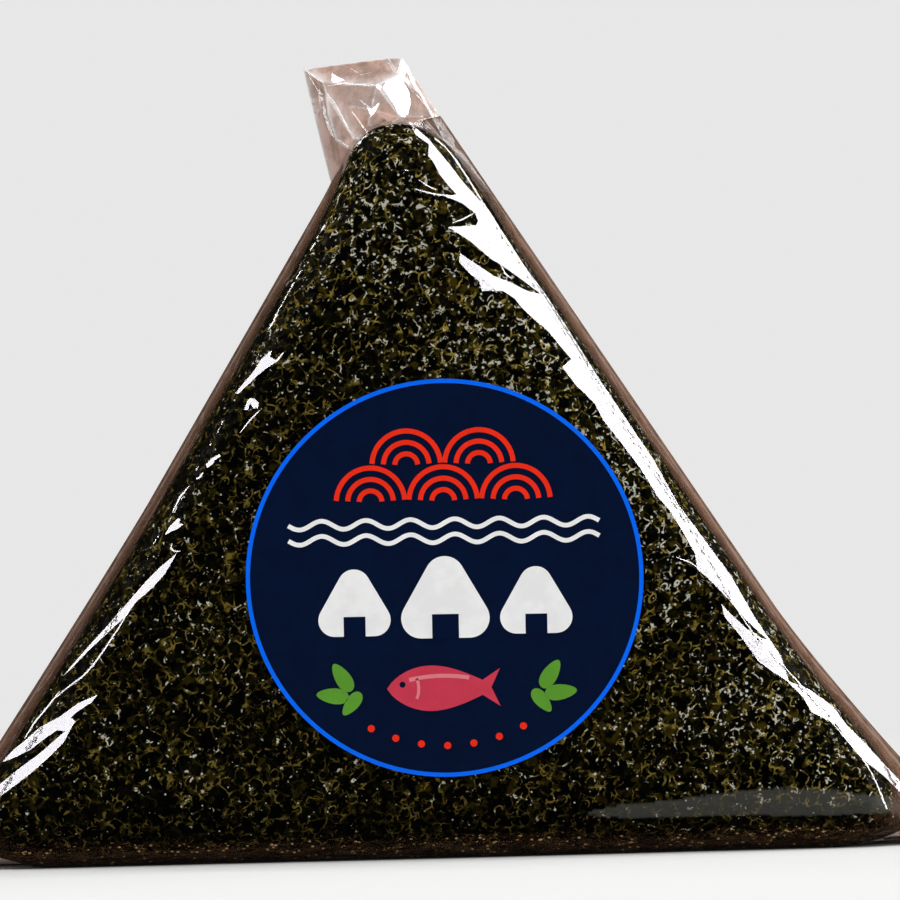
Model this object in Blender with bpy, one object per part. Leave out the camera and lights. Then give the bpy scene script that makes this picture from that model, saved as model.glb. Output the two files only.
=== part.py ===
"""A triangular onigiri rice ball, wrapped in nori and shut in clear film, with a round label on its front.

The film clings to the nori, so film and contents are one solid. The film stands clear of the nori only as
a low crease down each slanted side, as a pointed ear at each lower corner and as a tab above the top.
Metres, +Z up. The ball stands on its lower side and its front faces -Y. The origin is the base's centre.
"""

import math

import bmesh
import bpy
from mathutils import Vector, noise

MM = 0.001

# The film's outer line, seen from the front. Each side leans in from its foot, and flares out low down.
# foot is half the base without the flare, and lean is how far the side comes in as it rises by one unit.
RIGHT_SIDE = {
    "sign": 1,
    "foot": 50.4 * MM,
    "lean": 0.645,
    "flare": 4.2 * MM,
    "flare_top": 24.0 * MM,
    "flare_power": 1.5,
}
LEFT_SIDE = {
    "sign": -1,
    "foot": 49.3 * MM,
    "lean": 0.609,
    "flare": 2.1 * MM,
    "flare_top": 36.0 * MM,
    "flare_power": 1.3,
}
CENTRING = 1.6 * MM  # moves everything along X so that the two ears reach equally far

# The nori inside the film
NORI_INSET = 1.25 * MM  # how far the nori's outline lies inside the film's
NORI_FLARE = 0.73  # its sides flare out by this share of the film's flare
CORNER_RADIUS = 5.0 * MM
APEX_RADIUS = 4.3 * MM
APEX_SHIFT = 0.9 * MM  # its top leans this far to the left
APEX_SHIFT_FROM_Z = 63.0 * MM

# The film tab above the top
TAB_LEFT_FOOT_Z = 67.2 * MM  # where its left edge leaves the slanted side
TAB_LEFT_TOP = (-10.9 * MM, 78.9 * MM)
TAB_RIGHT_TOP_Z = 79.8 * MM  # its right edge goes on along the slanted side up to here
APEX_LEVEL = 69.5 * MM  # the tab counts as part of the top above this height

# Thickness, from front to back
HALF_THICKNESS_FOOT = 14.6 * MM
HALF_THICKNESS_TOP = 11.2 * MM
TOP_Z = 73.0 * MM
EDGE_RADIUS = 6.4 * MM  # round edge between a face and the sides
INNER_CORNER_RADIUS = 3.0 * MM
INNER_APEX_RADIUS = 3.4 * MM
DOME = 1.3 * MM  # how far the middle of a face stands out
DOME_CENTRE_Z = 29.0 * MM
DOME_REACH = 34.0 * MM

# Soft lumps of the rice under the nori, lower under the label, which holds them flat
LUMP_HEIGHT = 0.30 * MM
LUMP_SIZE = 11.0 * MM
LUMPS_UNDER_LABEL = 0.25
LUMPS_GROW_FROM = 0.8  # of the label's radius
LUMPS_GROW_OVER = 0.6
FRONT_SEED = 3.7
BACK_SEED = 8.2

# The film between the nori's side and the crease line at mid depth
CREASE_SHARE = 0.62  # of the way from the nori's outline out to the crease
CREASE_DEPTH_SIDE = 4.2 * MM
CREASE_DEPTH_TAB = 1.9 * MM
EAR_REACH = 10.0 * MM  # how much of the base, at each end, belongs to an ear
EAR_Z = 8.5 * MM

# The label
LABEL_RADIUS = 19.7 * MM
LABEL_CENTRE = (2.0 * MM, 27.9 * MM)
LABEL_THICKNESS = 0.25 * MM
LABEL_GAP = 0.30 * MM

# How finely the shapes are divided
ARC_STEPS = 5
SIDE_STEPS = 17
TAB_STEPS = 5  # for each of the tab's three edges
FACE_RINGS = 6
EDGE_STEPS = 5
LABEL_RINGS = 5
LABEL_SECTORS = 40
SHARP_ANGLE = math.radians(32)

COLOURS = {
    "nori_under_film": ((0.012, 0.016, 0.006, 1.0), 0.28),
    "label": ((0.001, 0.005, 0.030, 1.0), 0.45),
}


def clear_scene():
    for obj in list(bpy.data.objects):
        bpy.data.objects.remove(obj, do_unlink=True)


def material(name):
    colour, roughness = COLOURS[name]
    made = bpy.data.materials.new(name)
    made.use_nodes = True
    shader = made.node_tree.nodes["Principled BSDF"]
    shader.inputs["Base Color"].default_value = colour
    shader.inputs["Roughness"].default_value = roughness
    shader.inputs["Metallic"].default_value = 0.0
    return made


def mix(a, b, share):
    return a + (b - a) * share


def mix_points(p, q, share):
    return mix(p[0], q[0], share), mix(p[1], q[1], share)


def flare(side, z):
    share = max(0.0, 1.0 - z / side["flare_top"])
    return side["flare"] * share ** side["flare_power"]


def side_x(side, z, inset=0.0):
    """X of a slanted side at height z: the film's, or the nori's where inset moves it square to the side."""
    across = inset * math.hypot(1.0, side["lean"])
    flared = flare(side, z) * (NORI_FLARE if inset else 1.0)
    half = side["foot"] + flared - side["lean"] * z - across
    return side["sign"] * half


def foot_direction(side, inset):
    """Unit direction up a side from its foot, flare included."""
    rise = 2.0 * CORNER_RADIUS
    run = side_x(side, rise, inset) - side_x(side, 0.0, inset)
    return Vector((run, rise)).normalized()


def fillet(corner, to_first, to_last, radius, steps):
    """Points of the arc that rounds a corner, from the line along to_first to the line along to_last."""
    corner = Vector(corner)
    first, last = Vector(to_first).normalized(), Vector(to_last).normalized()
    half_angle = first.angle(last) / 2
    centre = corner + (first + last).normalized() * radius / math.sin(half_angle)
    length = radius / math.tan(half_angle)
    start, end = corner + first * length - centre, corner + last * length - centre
    sweep = start.angle(end)
    points = []
    for i in range(steps + 1):
        share = i / steps
        arm = start * math.sin((1 - share) * sweep) + end * math.sin(share * sweep)
        points.append(tuple(centre + arm / math.sin(sweep)))
    return points


def along(first, last, steps):
    """Points on a straight line, without its first point."""
    return [mix_points(first, last, i / steps) for i in range(1, steps + 1)]


def along_side(side, first_z, last_z, steps, inset=0.0):
    """Points up or down a slanted side, without the first one."""
    heights = [mix(first_z, last_z, i / steps) for i in range(1, steps + 1)]
    return [(side_x(side, z, inset), z) for z in heights]


def apex_corner(inset):
    """Where the two slanted sides would meet, well above their flares."""
    low_z = APEX_SHIFT_FROM_Z
    width = side_x(RIGHT_SIDE, low_z, inset) - side_x(LEFT_SIDE, low_z, inset)
    z = low_z + width / (RIGHT_SIDE["lean"] + LEFT_SIDE["lean"])
    return side_x(RIGHT_SIDE, z, inset), z


def leaned(points):
    """Points of the nori's outline with its top moved to the left."""
    moved = []
    for x, z in points:
        share = min(1.0, max(0.0, (z - APEX_SHIFT_FROM_Z) / (TOP_Z - APEX_SHIFT_FROM_Z)))
        moved.append((x - APEX_SHIFT * share, z))
    return moved


def nori_outline(inset, corner_radius, apex_radius):
    """The round-cornered triangle of the nori, from the left corner's middle, along the base and round."""
    floor_z = max(0.0, inset - NORI_INSET)
    apex = apex_corner(inset)
    up_right, up_left = foot_direction(RIGHT_SIDE, inset), foot_direction(LEFT_SIDE, inset)
    left_corner = (side_x(LEFT_SIDE, floor_z, inset), floor_z)
    right_corner = (side_x(RIGHT_SIDE, floor_z, inset), floor_z)
    left = fillet(left_corner, up_left, (1, 0), corner_radius, 2 * ARC_STEPS)
    right = fillet(right_corner, (-1, 0), up_right, corner_radius, 2 * ARC_STEPS)
    top = fillet(apex, (RIGHT_SIDE["lean"], -1), (-LEFT_SIDE["lean"], -1), apex_radius, 3 * TAB_STEPS)
    points = left[ARC_STEPS:]
    points += along(left[-1], right[0], SIDE_STEPS)
    points += right[1:]
    points += along_side(RIGHT_SIDE, right[-1][1], top[0][1], SIDE_STEPS, inset)
    points += top[1:]
    points += along_side(LEFT_SIDE, top[-1][1], left[0][1], SIDE_STEPS, inset)
    points += left[1:ARC_STEPS]
    return leaned(points)


def film_outline():
    """The film's crease line: the slanted sides, an ear at each lower corner and the tab at the top."""
    left_tip = (side_x(LEFT_SIDE, 0.0), 0.0)
    right_tip = (side_x(RIGHT_SIDE, 0.0), 0.0)
    base_left, base_right = left_tip[0] + EAR_REACH, right_tip[0] - EAR_REACH
    tab_right = (side_x(RIGHT_SIDE, TAB_RIGHT_TOP_Z), TAB_RIGHT_TOP_Z)
    tab_foot = (side_x(LEFT_SIDE, TAB_LEFT_FOOT_Z), TAB_LEFT_FOOT_Z)
    points = [left_tip]
    points += along(left_tip, (base_left, 0.0), ARC_STEPS)
    points += along((base_left, 0.0), (base_right, 0.0), SIDE_STEPS)
    points += along((base_right, 0.0), right_tip, ARC_STEPS)
    points += along_side(RIGHT_SIDE, 0.0, EAR_Z, ARC_STEPS)
    points += along_side(RIGHT_SIDE, EAR_Z, APEX_LEVEL, SIDE_STEPS)
    points += along_side(RIGHT_SIDE, APEX_LEVEL, TAB_RIGHT_TOP_Z, TAB_STEPS)
    points += along(tab_right, TAB_LEFT_TOP, TAB_STEPS)
    points += along(TAB_LEFT_TOP, tab_foot, TAB_STEPS)
    points += along_side(LEFT_SIDE, TAB_LEFT_FOOT_Z, EAR_Z, SIDE_STEPS)
    points += along_side(LEFT_SIDE, EAR_Z, 0.0, ARC_STEPS)[:-1]
    return points


def half_thickness(z):
    return mix(HALF_THICKNESS_FOOT, HALF_THICKNESS_TOP, min(1.0, max(0.0, z / TOP_Z)))


def lumps(x, z, seed):
    """Soft unevenness of a face, flattened where the label lies."""
    from_label = math.hypot(x - LABEL_CENTRE[0], z - LABEL_CENTRE[1]) / LABEL_RADIUS
    open_share = min(1.0, max(LUMPS_UNDER_LABEL, (from_label - LUMPS_GROW_FROM) / LUMPS_GROW_OVER))
    spot = Vector((x / LUMP_SIZE, z / LUMP_SIZE, seed))
    return LUMP_HEIGHT * open_share * noise.noise(spot)


def face_depth(x, z, front):
    """How far a face stands out from mid depth at one place."""
    reach = math.hypot(x, z - DOME_CENTRE_Z) / DOME_REACH
    dome = DOME * max(0.0, 1.0 - reach * reach)
    seed = FRONT_SEED if front else BACK_SEED
    return half_thickness(z) + dome + lumps(x, z, seed)


def pack_rings(front):
    """Rings of (x, y, z) from the middle of a face out to the last ring before the crease line."""
    sign = -1 if front else 1
    outer = nori_outline(NORI_INSET, CORNER_RADIUS, APEX_RADIUS)
    inner = nori_outline(NORI_INSET + EDGE_RADIUS, INNER_CORNER_RADIUS, INNER_APEX_RADIUS)
    crease = film_outline()
    rings = []
    for k in range(1, FACE_RINGS + 1):
        ring = [mix_points(LABEL_CENTRE, p, k / FACE_RINGS) for p in inner]
        rings.append([(x, sign * face_depth(x, z, front), z) for x, z in ring])
    for k in range(1, EDGE_STEPS + 1):
        turn = k / EDGE_STEPS * math.pi / 2
        ring = []
        for p, q in zip(inner, outer):
            x, z = mix_points(p, q, math.sin(turn))
            face = face_depth(*p, front)
            wall = half_thickness(z) - EDGE_RADIUS
            ring.append((x, sign * mix(wall, face, math.cos(turn)), z))
        rings.append(ring)
    ring = []
    for p, q in zip(outer, crease):
        x, z = mix_points(p, q, CREASE_SHARE)
        tab_share = min(1.0, max(0.0, (z - TAB_LEFT_FOOT_Z) / (TOP_Z - TAB_LEFT_FOOT_Z)))
        ring.append((x, sign * mix(CREASE_DEPTH_SIDE, CREASE_DEPTH_TAB, tab_share), z))
    rings.append(ring)
    return rings


def point(x, y, z):
    return Vector((x - CENTRING, y, z))


def closed_by_rings(bm, rings, first_centre, last_centre):
    """Joins rings of equal length into one closed surface, with a fan at each end."""
    levels = [[bm.verts.new(point(*p)) for p in ring] for ring in rings]
    count = len(levels[0])
    for near, far in zip(levels, levels[1:]):
        for i in range(count):
            j = (i + 1) % count
            bm.faces.new((near[i], near[j], far[j], far[i]))
    for ring, centre, turned in ((levels[0], first_centre, False), (levels[-1], last_centre, True)):
        middle = bm.verts.new(point(*centre))
        for i in range(count):
            j = (i + 1) % count
            corners = (ring[j], ring[i], middle) if not turned else (ring[i], ring[j], middle)
            bm.faces.new(corners)


def object_from(bm, name, colour):
    bmesh.ops.recalc_face_normals(bm, faces=bm.faces)
    mesh = bpy.data.meshes.new(name)
    bm.to_mesh(mesh)
    bm.free()
    mesh.shade_smooth()
    mesh.set_sharp_from_angle(angle=SHARP_ANGLE)
    mesh.materials.append(material(colour))
    made = bpy.data.objects.new(name, mesh)
    bpy.context.scene.collection.objects.link(made)
    return made


def make_wrapped_onigiri():
    """The nori-wrapped rice in its film, from the front face round over the crease line to the back face."""
    front, back = pack_rings(True), pack_rings(False)
    crease = [(x, 0.0, z) for x, z in film_outline()]
    x, z = LABEL_CENTRE
    bm = bmesh.new()
    closed_by_rings(
        bm,
        front + [crease] + back[::-1],
        (x, -face_depth(x, z, True), z),
        (x, face_depth(x, z, False), z),
    )
    return object_from(bm, "wrapped_onigiri", "nori_under_film")


def label_point(radius, angle, lift):
    x = LABEL_CENTRE[0] + radius * math.cos(angle)
    z = LABEL_CENTRE[1] + radius * math.sin(angle)
    return x, -face_depth(x, z, True) - lift, z


def make_label():
    """A thin round label that follows the front of the pack."""
    radii = [LABEL_RADIUS * k / LABEL_RINGS for k in range(1, LABEL_RINGS + 1)]
    angles = [math.tau * i / LABEL_SECTORS for i in range(LABEL_SECTORS)]
    far, near = LABEL_GAP + LABEL_THICKNESS, LABEL_GAP
    rings = [[label_point(r, a, far) for a in angles] for r in radii]
    rings += [[label_point(r, a, near) for a in angles] for r in reversed(radii)]
    bm = bmesh.new()
    closed_by_rings(bm, rings, label_point(0.0, 0.0, far), label_point(0.0, 0.0, near))
    return object_from(bm, "label", "label")


def main():
    clear_scene()
    make_wrapped_onigiri()
    make_label()


main()
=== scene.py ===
"""Looks of a triangular onigiri, wrapped in nori and shut in clear film, with a round label on its front.

The nori, the film, its folded tab and its creases replace the plain solid. The label keeps its solid and
gets a print of thin flat shapes. Metres, in the frame of the solids: the front faces -Y and the base lies
at z = 0.
"""

import math

import bpy
import numpy as np
from mathutils import Matrix, Quaternion, Vector, noise
from mathutils.bvhtree import BVHTree
from mathutils.geometry import delaunay_2d_cdt


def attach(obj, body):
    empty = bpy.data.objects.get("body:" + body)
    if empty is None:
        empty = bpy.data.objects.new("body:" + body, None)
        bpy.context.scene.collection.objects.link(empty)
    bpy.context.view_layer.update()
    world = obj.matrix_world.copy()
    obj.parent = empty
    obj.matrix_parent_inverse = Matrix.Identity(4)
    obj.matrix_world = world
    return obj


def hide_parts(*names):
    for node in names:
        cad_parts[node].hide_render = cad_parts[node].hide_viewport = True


MM = 0.001

# The film's outer line, as in the solid. Each side leans in from its foot and flares out low down.
RIGHT_SIDE = {"foot": 50.4 * MM, "lean": 0.645, "flare": 4.2 * MM, "flare_top": 24.0 * MM, "power": 1.5}
LEFT_SIDE = {"foot": 49.3 * MM, "lean": 0.609, "flare": 2.1 * MM, "flare_top": 36.0 * MM, "power": 1.3}
CENTRING = 1.6 * MM  # how far to the left the whole is moved, so that it stands centred

# The nori
NORI_INSET = 1.25 * MM
NORI_FLARE = 0.73
NORI_FLOOR = 0.25 * MM
NORI_UNDER_FILM = 0.30 * MM
NORI_EDGE_RADIUS = 6.2 * MM
NORI_CALM = 1.0 * MM  # how far from its rim its relief fades
NORI_LEAST_Z = 0.1 * MM
RELIEF_SHAKE = (1.7 * MM, 0.7 * MM)
RELIEF = ((0.12 * MM, 1.5 * MM, 0), (0.05 * MM, 0.85 * MM, 2))  # heights, sizes of cells, and seeds
BORDER_WIDTH = 0.22  # of the borders between cells, as a share of their size
APEX_SHIFT = 1.5 * MM
APEX_SHIFT_FROM_Z = 63.0 * MM

# The nori's looks: its colours, and how strong its marks are, with painted light that brightens them towards
# the right side
ARC_ANGLE = math.radians(50.0)
NORI_BLACK = (0.0002, 0.0003, 0.0001, 1)
NORI_OLIVE = (0.015, 0.0135, 0.0004, 1)
NORI_AMBER = (0.085, 0.058, 0.0012, 1)
NORI_RIDGE = (0.050, 0.042, 0.0015, 1)
DARK_GOLD = (0.045, 0.038, 0.002, 1)
BRIGHT_GOLD = (0.62, 0.46, 0.09, 1)
# Painted highlights: the white glints, the pale sparks and the orange sparks low down
PAINTED_GLINT = (1.0, 0.98, 0.82, 1)
PAINTED_SPARK = (1.0, 1.0, 0.92, 1)
LOW_PAINTED_SPARK = (1.0, 0.62, 0.22, 1)
SHEEN_GREY = (0.21, 0.21, 0.195, 1)
LEAST_MARKS = 0.55
PAINTED_LIGHT_FROM_RIGHT = (19.0, 4.0)  # in millimetres from the right side
MARKS_LOW = 0.35
MARKS_LOW_HEIGHTS = (0.5, 10.0)
BROWN_HEIGHTS = (3.2 * MM, 1.2 * MM)

# Thickness from mid depth to a face
HALF_THICKNESS_FOOT = 14.6 * MM
HALF_THICKNESS_TOP = 11.2 * MM
TOP_Z = 73.0 * MM
DOME = 1.3 * MM
DOME_CENTRE_Z = 29.0 * MM
DOME_REACH = 34.0 * MM
LUMP_HEIGHT = 0.30 * MM
LUMP_SIZE = 11.0 * MM
LUMPS_UNDER_LABEL = 0.25
LUMPS_GROW_FROM = 0.8
LUMPS_GROW_OVER = 0.6
FRONT_SEED = 3.7
BACK_SEED = 8.2

# The film
FILM_EDGE_RADIUS = 6.45 * MM
FILM_FLOOR = 0.03 * MM
FILM_TOP_CUT = 73.8 * MM  # above this height the tab takes over
APEX_LIFT = 1.5 * MM
APEX_LIFT_FROM_Z = 61.0 * MM
CORNER_STRETCH = 0.40  # how far the two lower corners reach beyond a round one
CORNER_BELOW_Z = 30.0 * MM
UNDER_LABEL_LIFT = 0.2 * MM
UNDER_LABEL_FADE = (-0.5 * MM, 2.0 * MM)

# The meshes of nori and film: the lattice of their points, and how far apart these are
LATTICE_ACROSS = (-75 * MM, 80 * MM)
LATTICE_UP = (-24 * MM, 100 * MM)
LATTICE_SHAKE = 0.18
RIM_STEP = 0.5 * MM
RIM_GAP = 0.25 * MM  # between the points of the rim and the others
ARC_STEP_RADIUS = 16 * MM  # the radius at which points round a corner are a step apart
NORI_FACE_END = 1.35 * NORI_EDGE_RADIUS  # how far round its edge the fine mesh goes
NORI_STEP_FRONT = 0.29 * MM
NORI_STEP_BACK = 0.42 * MM
NORI_WALL_STEP = 0.55 * MM
FILM_STEPS = {True: (0.36 * MM, 0.9 * MM), False: (0.5 * MM, 0.6 * MM)}  # by front: near its edge, elsewhere
FILM_EDGE_ZONE = 9 * MM
FILM_EDGE_TURN = 1.4 * FILM_EDGE_RADIUS

# How milky the film is, and where its haze carries the painted reflection, the table's tan, by place
BASE_HAZE = 0.07
SIDE_HAZE = 0.27
LOW_HAZE = 0.12
CORNER_HAZE = 0.86
LEAST_REFLECTED_TAN = 0.30
LOW_REFLECTED_TAN = 0.06
LEFT_REFLECTED_TAN_LOSS = 0.36
TOP_RIGHT_CLEAR = 0.45
UNDER_TAB_CLEAR = 0.96
EDGE_CREASE = (0.17, 0.74, 0.07)  # how strong, where between face and rim, and how wide
SIDE_FOLD_CREASE = (0.15, 0.38, 0.045)  # how strong, how far it sways with the folds, and how wide
BACK_FOLD_CREASE = 0.18
SIDE_FACING = (0.25, 0.75)  # how far down the film faces, from a side to the base
EDGE_BEGINS = (0.66, 0.96)  # where the edge begins, by its radius, at the base and at a side
EDGE_HAZE_FROM = (0.0, 0.35)
EDGE_REFLECTED_TAN_FROM = (0.20, 0.60)
EAR_ONWARD = (0.15, 0.6)
EAR_FACING = (0.93, 0.80)
TOP_REFLECTED_TAN_HEIGHTS = (58.0 * MM, 66.0 * MM)
TOP_RIGHT_HEIGHTS = (59.0 * MM, 66.0 * MM)
TOP_RIGHT_FACING = (0.3, 0.7)
LOW_HEIGHTS = (2.4 * MM, 0.4 * MM)
BEAD_HEIGHTS = (3.0 * MM, 1.6 * MM)
LEFT_REACH = (0.0, -6.0 * MM)

# The film goes round an edge in flat facets. Where each one leans, in degrees, at the heights given first
FACET_HEIGHTS = (0.0, 12.0, 20.0, 30.0, 42.0, 56.0, 70.0)
INNER_FACET = (24.0, 24.0, 4.0, 20.0, 32.0, 34.0, 34.0)
OUTER_FACET = (64.0, 64.0, 61.0, 64.0, 66.0, 80.0, 84.0)
LAST_FACET = 84.0
FACET_SHAKE = 3.0
INNER_FACET_LENGTH = 3.1 * MM
OUTER_FACET_LENGTH = 4.3 * MM

# Where the film has creased into flat glossy patches. Each leans to a lamp of its own: leans in degrees
RIGHT_GLOSS_LEAN = 50.0
LEFT_GLOSS_LEAN = 46.0
LEFT_GLOSS_TOWARDS = (-0.70, 0.71)
GLOSS_LIFT = 0.04 * MM
GLOSS_STEP = 0.5 * MM
GLOSS_DEPTH = -12 * MM
GLOSS_SHAKE = 0.03
GLOSS_SHAKE_SIZE = 2.6 * MM

# Folds of the film down the two sides
FOLD_DEPTH = 0.3 * MM
FOLD_LENGTH = 6.5 * MM

# A soft grey sheen low on the right, as pixels of the photograph. The nori's colour carries it
SHEEN_OUTLINE = (
    (585, 811), (620, 804), (660, 800), (700, 795), (740, 790), (780, 787), (820, 788), (860, 793),
    (900, 799), (940, 805), (940, 812), (900, 812), (860, 813), (800, 815), (740, 814), (680, 816),
    (640, 817), (600, 816),
)
SHEEN_DEPTH = -14 * MM
SHEEN_SHARE = 0.42

# The film's ears, folded over the two lower corners, as pixels of the photograph
EAR_FOLDS = (
    ((858, 843), (880, 838), (900, 829), (925, 820), (950, 830), (962, 838), (930, 841), (900, 842)),
    ((34, 864), (15, 861), (0, 856), (-20, 849), (-45, 857), (-62, 865), (-30, 866), (0, 865)),
)
EAR_HAZE = 0.90
EAR_DEPTH = -4 * MM

# The label
LABEL_RADIUS = 19.7 * MM
LABEL_CENTRE = (2.0 * MM, 27.9 * MM)
LABEL_FACE = 0.55 * MM  # its front stands this far off the solid's face
LABEL_TILT = math.radians(-0.45)

# The camera: square to the front, far off, rolled a little as in the photograph
PHOTO_PIXELS = 900
CAMERA_DISTANCE = 1500 * MM
VIEW_WIDTH = 90 * MM
VIEW_CENTRE = Vector((1.26 * MM, 0.0, 40.4 * MM))
CAMERA_ELEVATION = math.radians(0.5)
CAMERA_ROLL = math.radians(1.5)
SENSOR = 36.0

SEED = 11
rng = np.random.default_rng(SEED)
noise.seed_set(SEED)


def smoothstep(low, high, value):
    share = np.clip((value - low) / (high - low), 0.0, 1.0)
    return share * share * (3.0 - 2.0 * share)


# The shape shared by nori and film

def flare(side, z):
    share = np.clip(1.0 - z / side["flare_top"], 0.0, 1.0)
    return side["flare"] * share ** side["power"]


def outward(side, sign):
    return np.array((sign, side["lean"])) / math.hypot(1.0, side["lean"])


NORMALS = {"right": outward(RIGHT_SIDE, 1), "left": outward(LEFT_SIDE, -1), "base": np.array((0.0, -1.0))}
FILM_LINES = {
    "right": float(NORMALS["right"] @ (RIGHT_SIDE["foot"], 0.0)),
    "left": float(NORMALS["left"] @ (-LEFT_SIDE["foot"], 0.0)),
    "base": -FILM_FLOOR,
}
CORE_LINES = {
    "right": FILM_LINES["right"] - NORI_INSET - NORI_EDGE_RADIUS,
    "left": FILM_LINES["left"] - NORI_INSET - NORI_EDGE_RADIUS,
    "base": -NORI_FLOOR - NORI_EDGE_RADIUS,
}


def crossing(first, second, lines):
    system = np.array((NORMALS[first], NORMALS[second]))
    return np.linalg.solve(system, (lines[first], lines[second]))


CORE_LEFT = crossing("left", "base", CORE_LINES)
CORE_RIGHT = crossing("right", "base", CORE_LINES)
CORE_TOP = crossing("right", "left", CORE_LINES)


def nearest_on_core(points):
    """The nearest point of the core triangle and the distance to it, which is 0 inside."""
    best = points.copy()
    inside = np.ones(len(points), dtype=bool)
    for name, line in CORE_LINES.items():
        inside &= points @ NORMALS[name] <= line
    distance = np.full(len(points), np.inf)
    for a, b in ((CORE_LEFT, CORE_RIGHT), (CORE_RIGHT, CORE_TOP), (CORE_TOP, CORE_LEFT)):
        edge = b - a
        share = np.clip((points - a) @ edge / (edge @ edge), 0.0, 1.0)
        foot = a + share[:, None] * edge
        gap = np.linalg.norm(points - foot, axis=1)
        nearer = gap < distance
        best[nearer] = foot[nearer]
        distance[nearer] = gap[nearer]
    best[inside] = points[inside]
    distance[inside] = 0.0
    return best, distance


def half_thickness(points, seed):
    """Height of a face over mid depth, with its dome and the soft lumps of the rice."""
    x, z = points[:, 0], points[:, 1]
    share = np.clip(z / TOP_Z, 0.0, 1.0)
    plain = HALF_THICKNESS_FOOT + (HALF_THICKNESS_TOP - HALF_THICKNESS_FOOT) * share
    reach = np.hypot(x, z - DOME_CENTRE_Z) / DOME_REACH
    dome = DOME * np.clip(1.0 - reach * reach, 0.0, 1.0)
    lumps = np.array([noise.noise(Vector((a / LUMP_SIZE, b / LUMP_SIZE, seed))) for a, b in points])
    from_label = np.hypot(x - LABEL_CENTRE[0], z - LABEL_CENTRE[1]) / LABEL_RADIUS
    open_share = np.clip((from_label - LUMPS_GROW_FROM) / LUMPS_GROW_OVER, LUMPS_UNDER_LABEL, 1.0)
    return plain + dome + LUMP_HEIGHT * open_share * lumps


def warped(x, z, film_share):
    """Adds the flare at the foot and the lean and lift of the top, by the share of the film's outer line."""
    out_x = x.copy()
    for side, sign in ((RIGHT_SIDE, 1.0), (LEFT_SIDE, -1.0)):
        straight = side["foot"] - NORI_INSET * math.hypot(1.0, side["lean"]) - side["lean"] * z
        share = np.clip(sign * x / np.maximum(straight, 1.0 * MM), 0.0, 1.0)
        strength = NORI_FLARE + (1.0 - NORI_FLARE) * film_share
        out_x += sign * flare(side, z) * strength * share ** 2
    lean = np.clip((z - APEX_SHIFT_FROM_Z) / (TOP_Z - APEX_SHIFT_FROM_Z), 0.0, 1.0)
    lift = APEX_LIFT * smoothstep(APEX_LIFT_FROM_Z, TOP_Z, z) * (1.0 - film_share)
    return out_x - APEX_SHIFT * lean ** 2 * (1.0 - film_share), z + lift


def corner_stretch(core, directions):
    """How far a rounded edge reaches out towards a lower corner, as a factor: 1 along the straight edges."""
    facing = np.max([directions @ normal for normal in NORMALS.values()], axis=0)
    sharp = 1.0 / np.clip(facing, 0.4, 1.0) - 1.0
    low = core[:, 1] < CORNER_BELOW_Z
    return 1.0 + CORNER_STRETCH * sharp * low


def unit(vectors):
    length = np.linalg.norm(vectors, axis=1, keepdims=True)
    return vectors / np.maximum(length, 1e-12)


def lattice(spacing, keep):
    """Points of a slightly shaken triangular lattice over the whole front, where keep says so."""
    across = np.arange(*LATTICE_ACROSS, spacing)
    up = np.arange(*LATTICE_UP, spacing * math.sqrt(3) / 2)
    grid_x, grid_z = np.meshgrid(across, up)
    grid_x[1::2] += spacing / 2
    points = np.column_stack((grid_x.ravel(), grid_z.ravel()))
    points += rng.uniform(-LATTICE_SHAKE, LATTICE_SHAKE, points.shape) * spacing
    return points[keep(points)]


def triangulated(boundary, inner):
    """Triangles inside a closed boundary through all the inner points."""
    points = np.vstack((boundary, inner))
    loop = list(range(len(boundary)))
    scaled = [Vector(p) for p in (points / MM).tolist()]
    verts, _, faces, _, _, _ = delaunay_2d_cdt(scaled, [], [loop], 1, 1e-7)
    return np.array([tuple(v) for v in verts]) * MM, np.array(faces, dtype=np.int64)


def core_loop(step):
    """Points round the core with their outward directions, turning through an arc at each corner."""
    sides = (("base", CORE_LEFT, CORE_RIGHT), ("right", CORE_RIGHT, CORE_TOP), ("left", CORE_TOP, CORE_LEFT))
    points, directions = [], []
    for index, (name, start, end) in enumerate(sides):
        normal = NORMALS[name]
        count = int(np.linalg.norm(end - start) / step)
        for i in range(count):
            points.append(start + (end - start) * i / count)
            directions.append(normal)
        next_normal = NORMALS[sides[(index + 1) % 3][0]]
        turn = math.acos(float(normal @ next_normal))
        turns = int(turn * ARC_STEP_RADIUS / step)
        for i in range(turns):
            angle = turn * i / turns
            cos, sin = math.cos(angle), math.sin(angle)
            points.append(end)
            directions.append(np.array((cos * normal[0] - sin * normal[1],
                                        sin * normal[0] + cos * normal[1])))
    return np.array(points), np.array(directions)


def new_piece(name, vertices, faces, material):
    mesh = bpy.data.meshes.new(name)
    mesh.from_pydata(vertices.tolist(), [], faces.tolist())
    mesh.shade_smooth()
    mesh.materials.append(material)
    piece = bpy.data.objects.new(name, mesh)
    bpy.context.scene.collection.objects.link(piece)
    return piece


def add_fields(piece, **fields):
    """Numbers for each vertex, or one for all of them, which the piece's material reads."""
    for name, values in fields.items():
        field = piece.data.attributes.new(name, "FLOAT", "POINT")
        each = np.full(len(piece.data.vertices), values, dtype=np.float32)
        field.data.foreach_set("value", each)


def surface_tree(piece):
    mesh = piece.data
    return BVHTree.FromPolygons([v.co for v in mesh.vertices], [p.vertices for p in mesh.polygons])


def vertex_normals(vertices, faces):
    a, b, c = (vertices[faces[:, k]] for k in range(3))
    across = np.cross(b - a, c - a)
    normals = np.zeros_like(vertices)
    for k in range(3):
        np.add.at(normals, faces[:, k], across)
    return unit(normals)


# Node helpers

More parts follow.
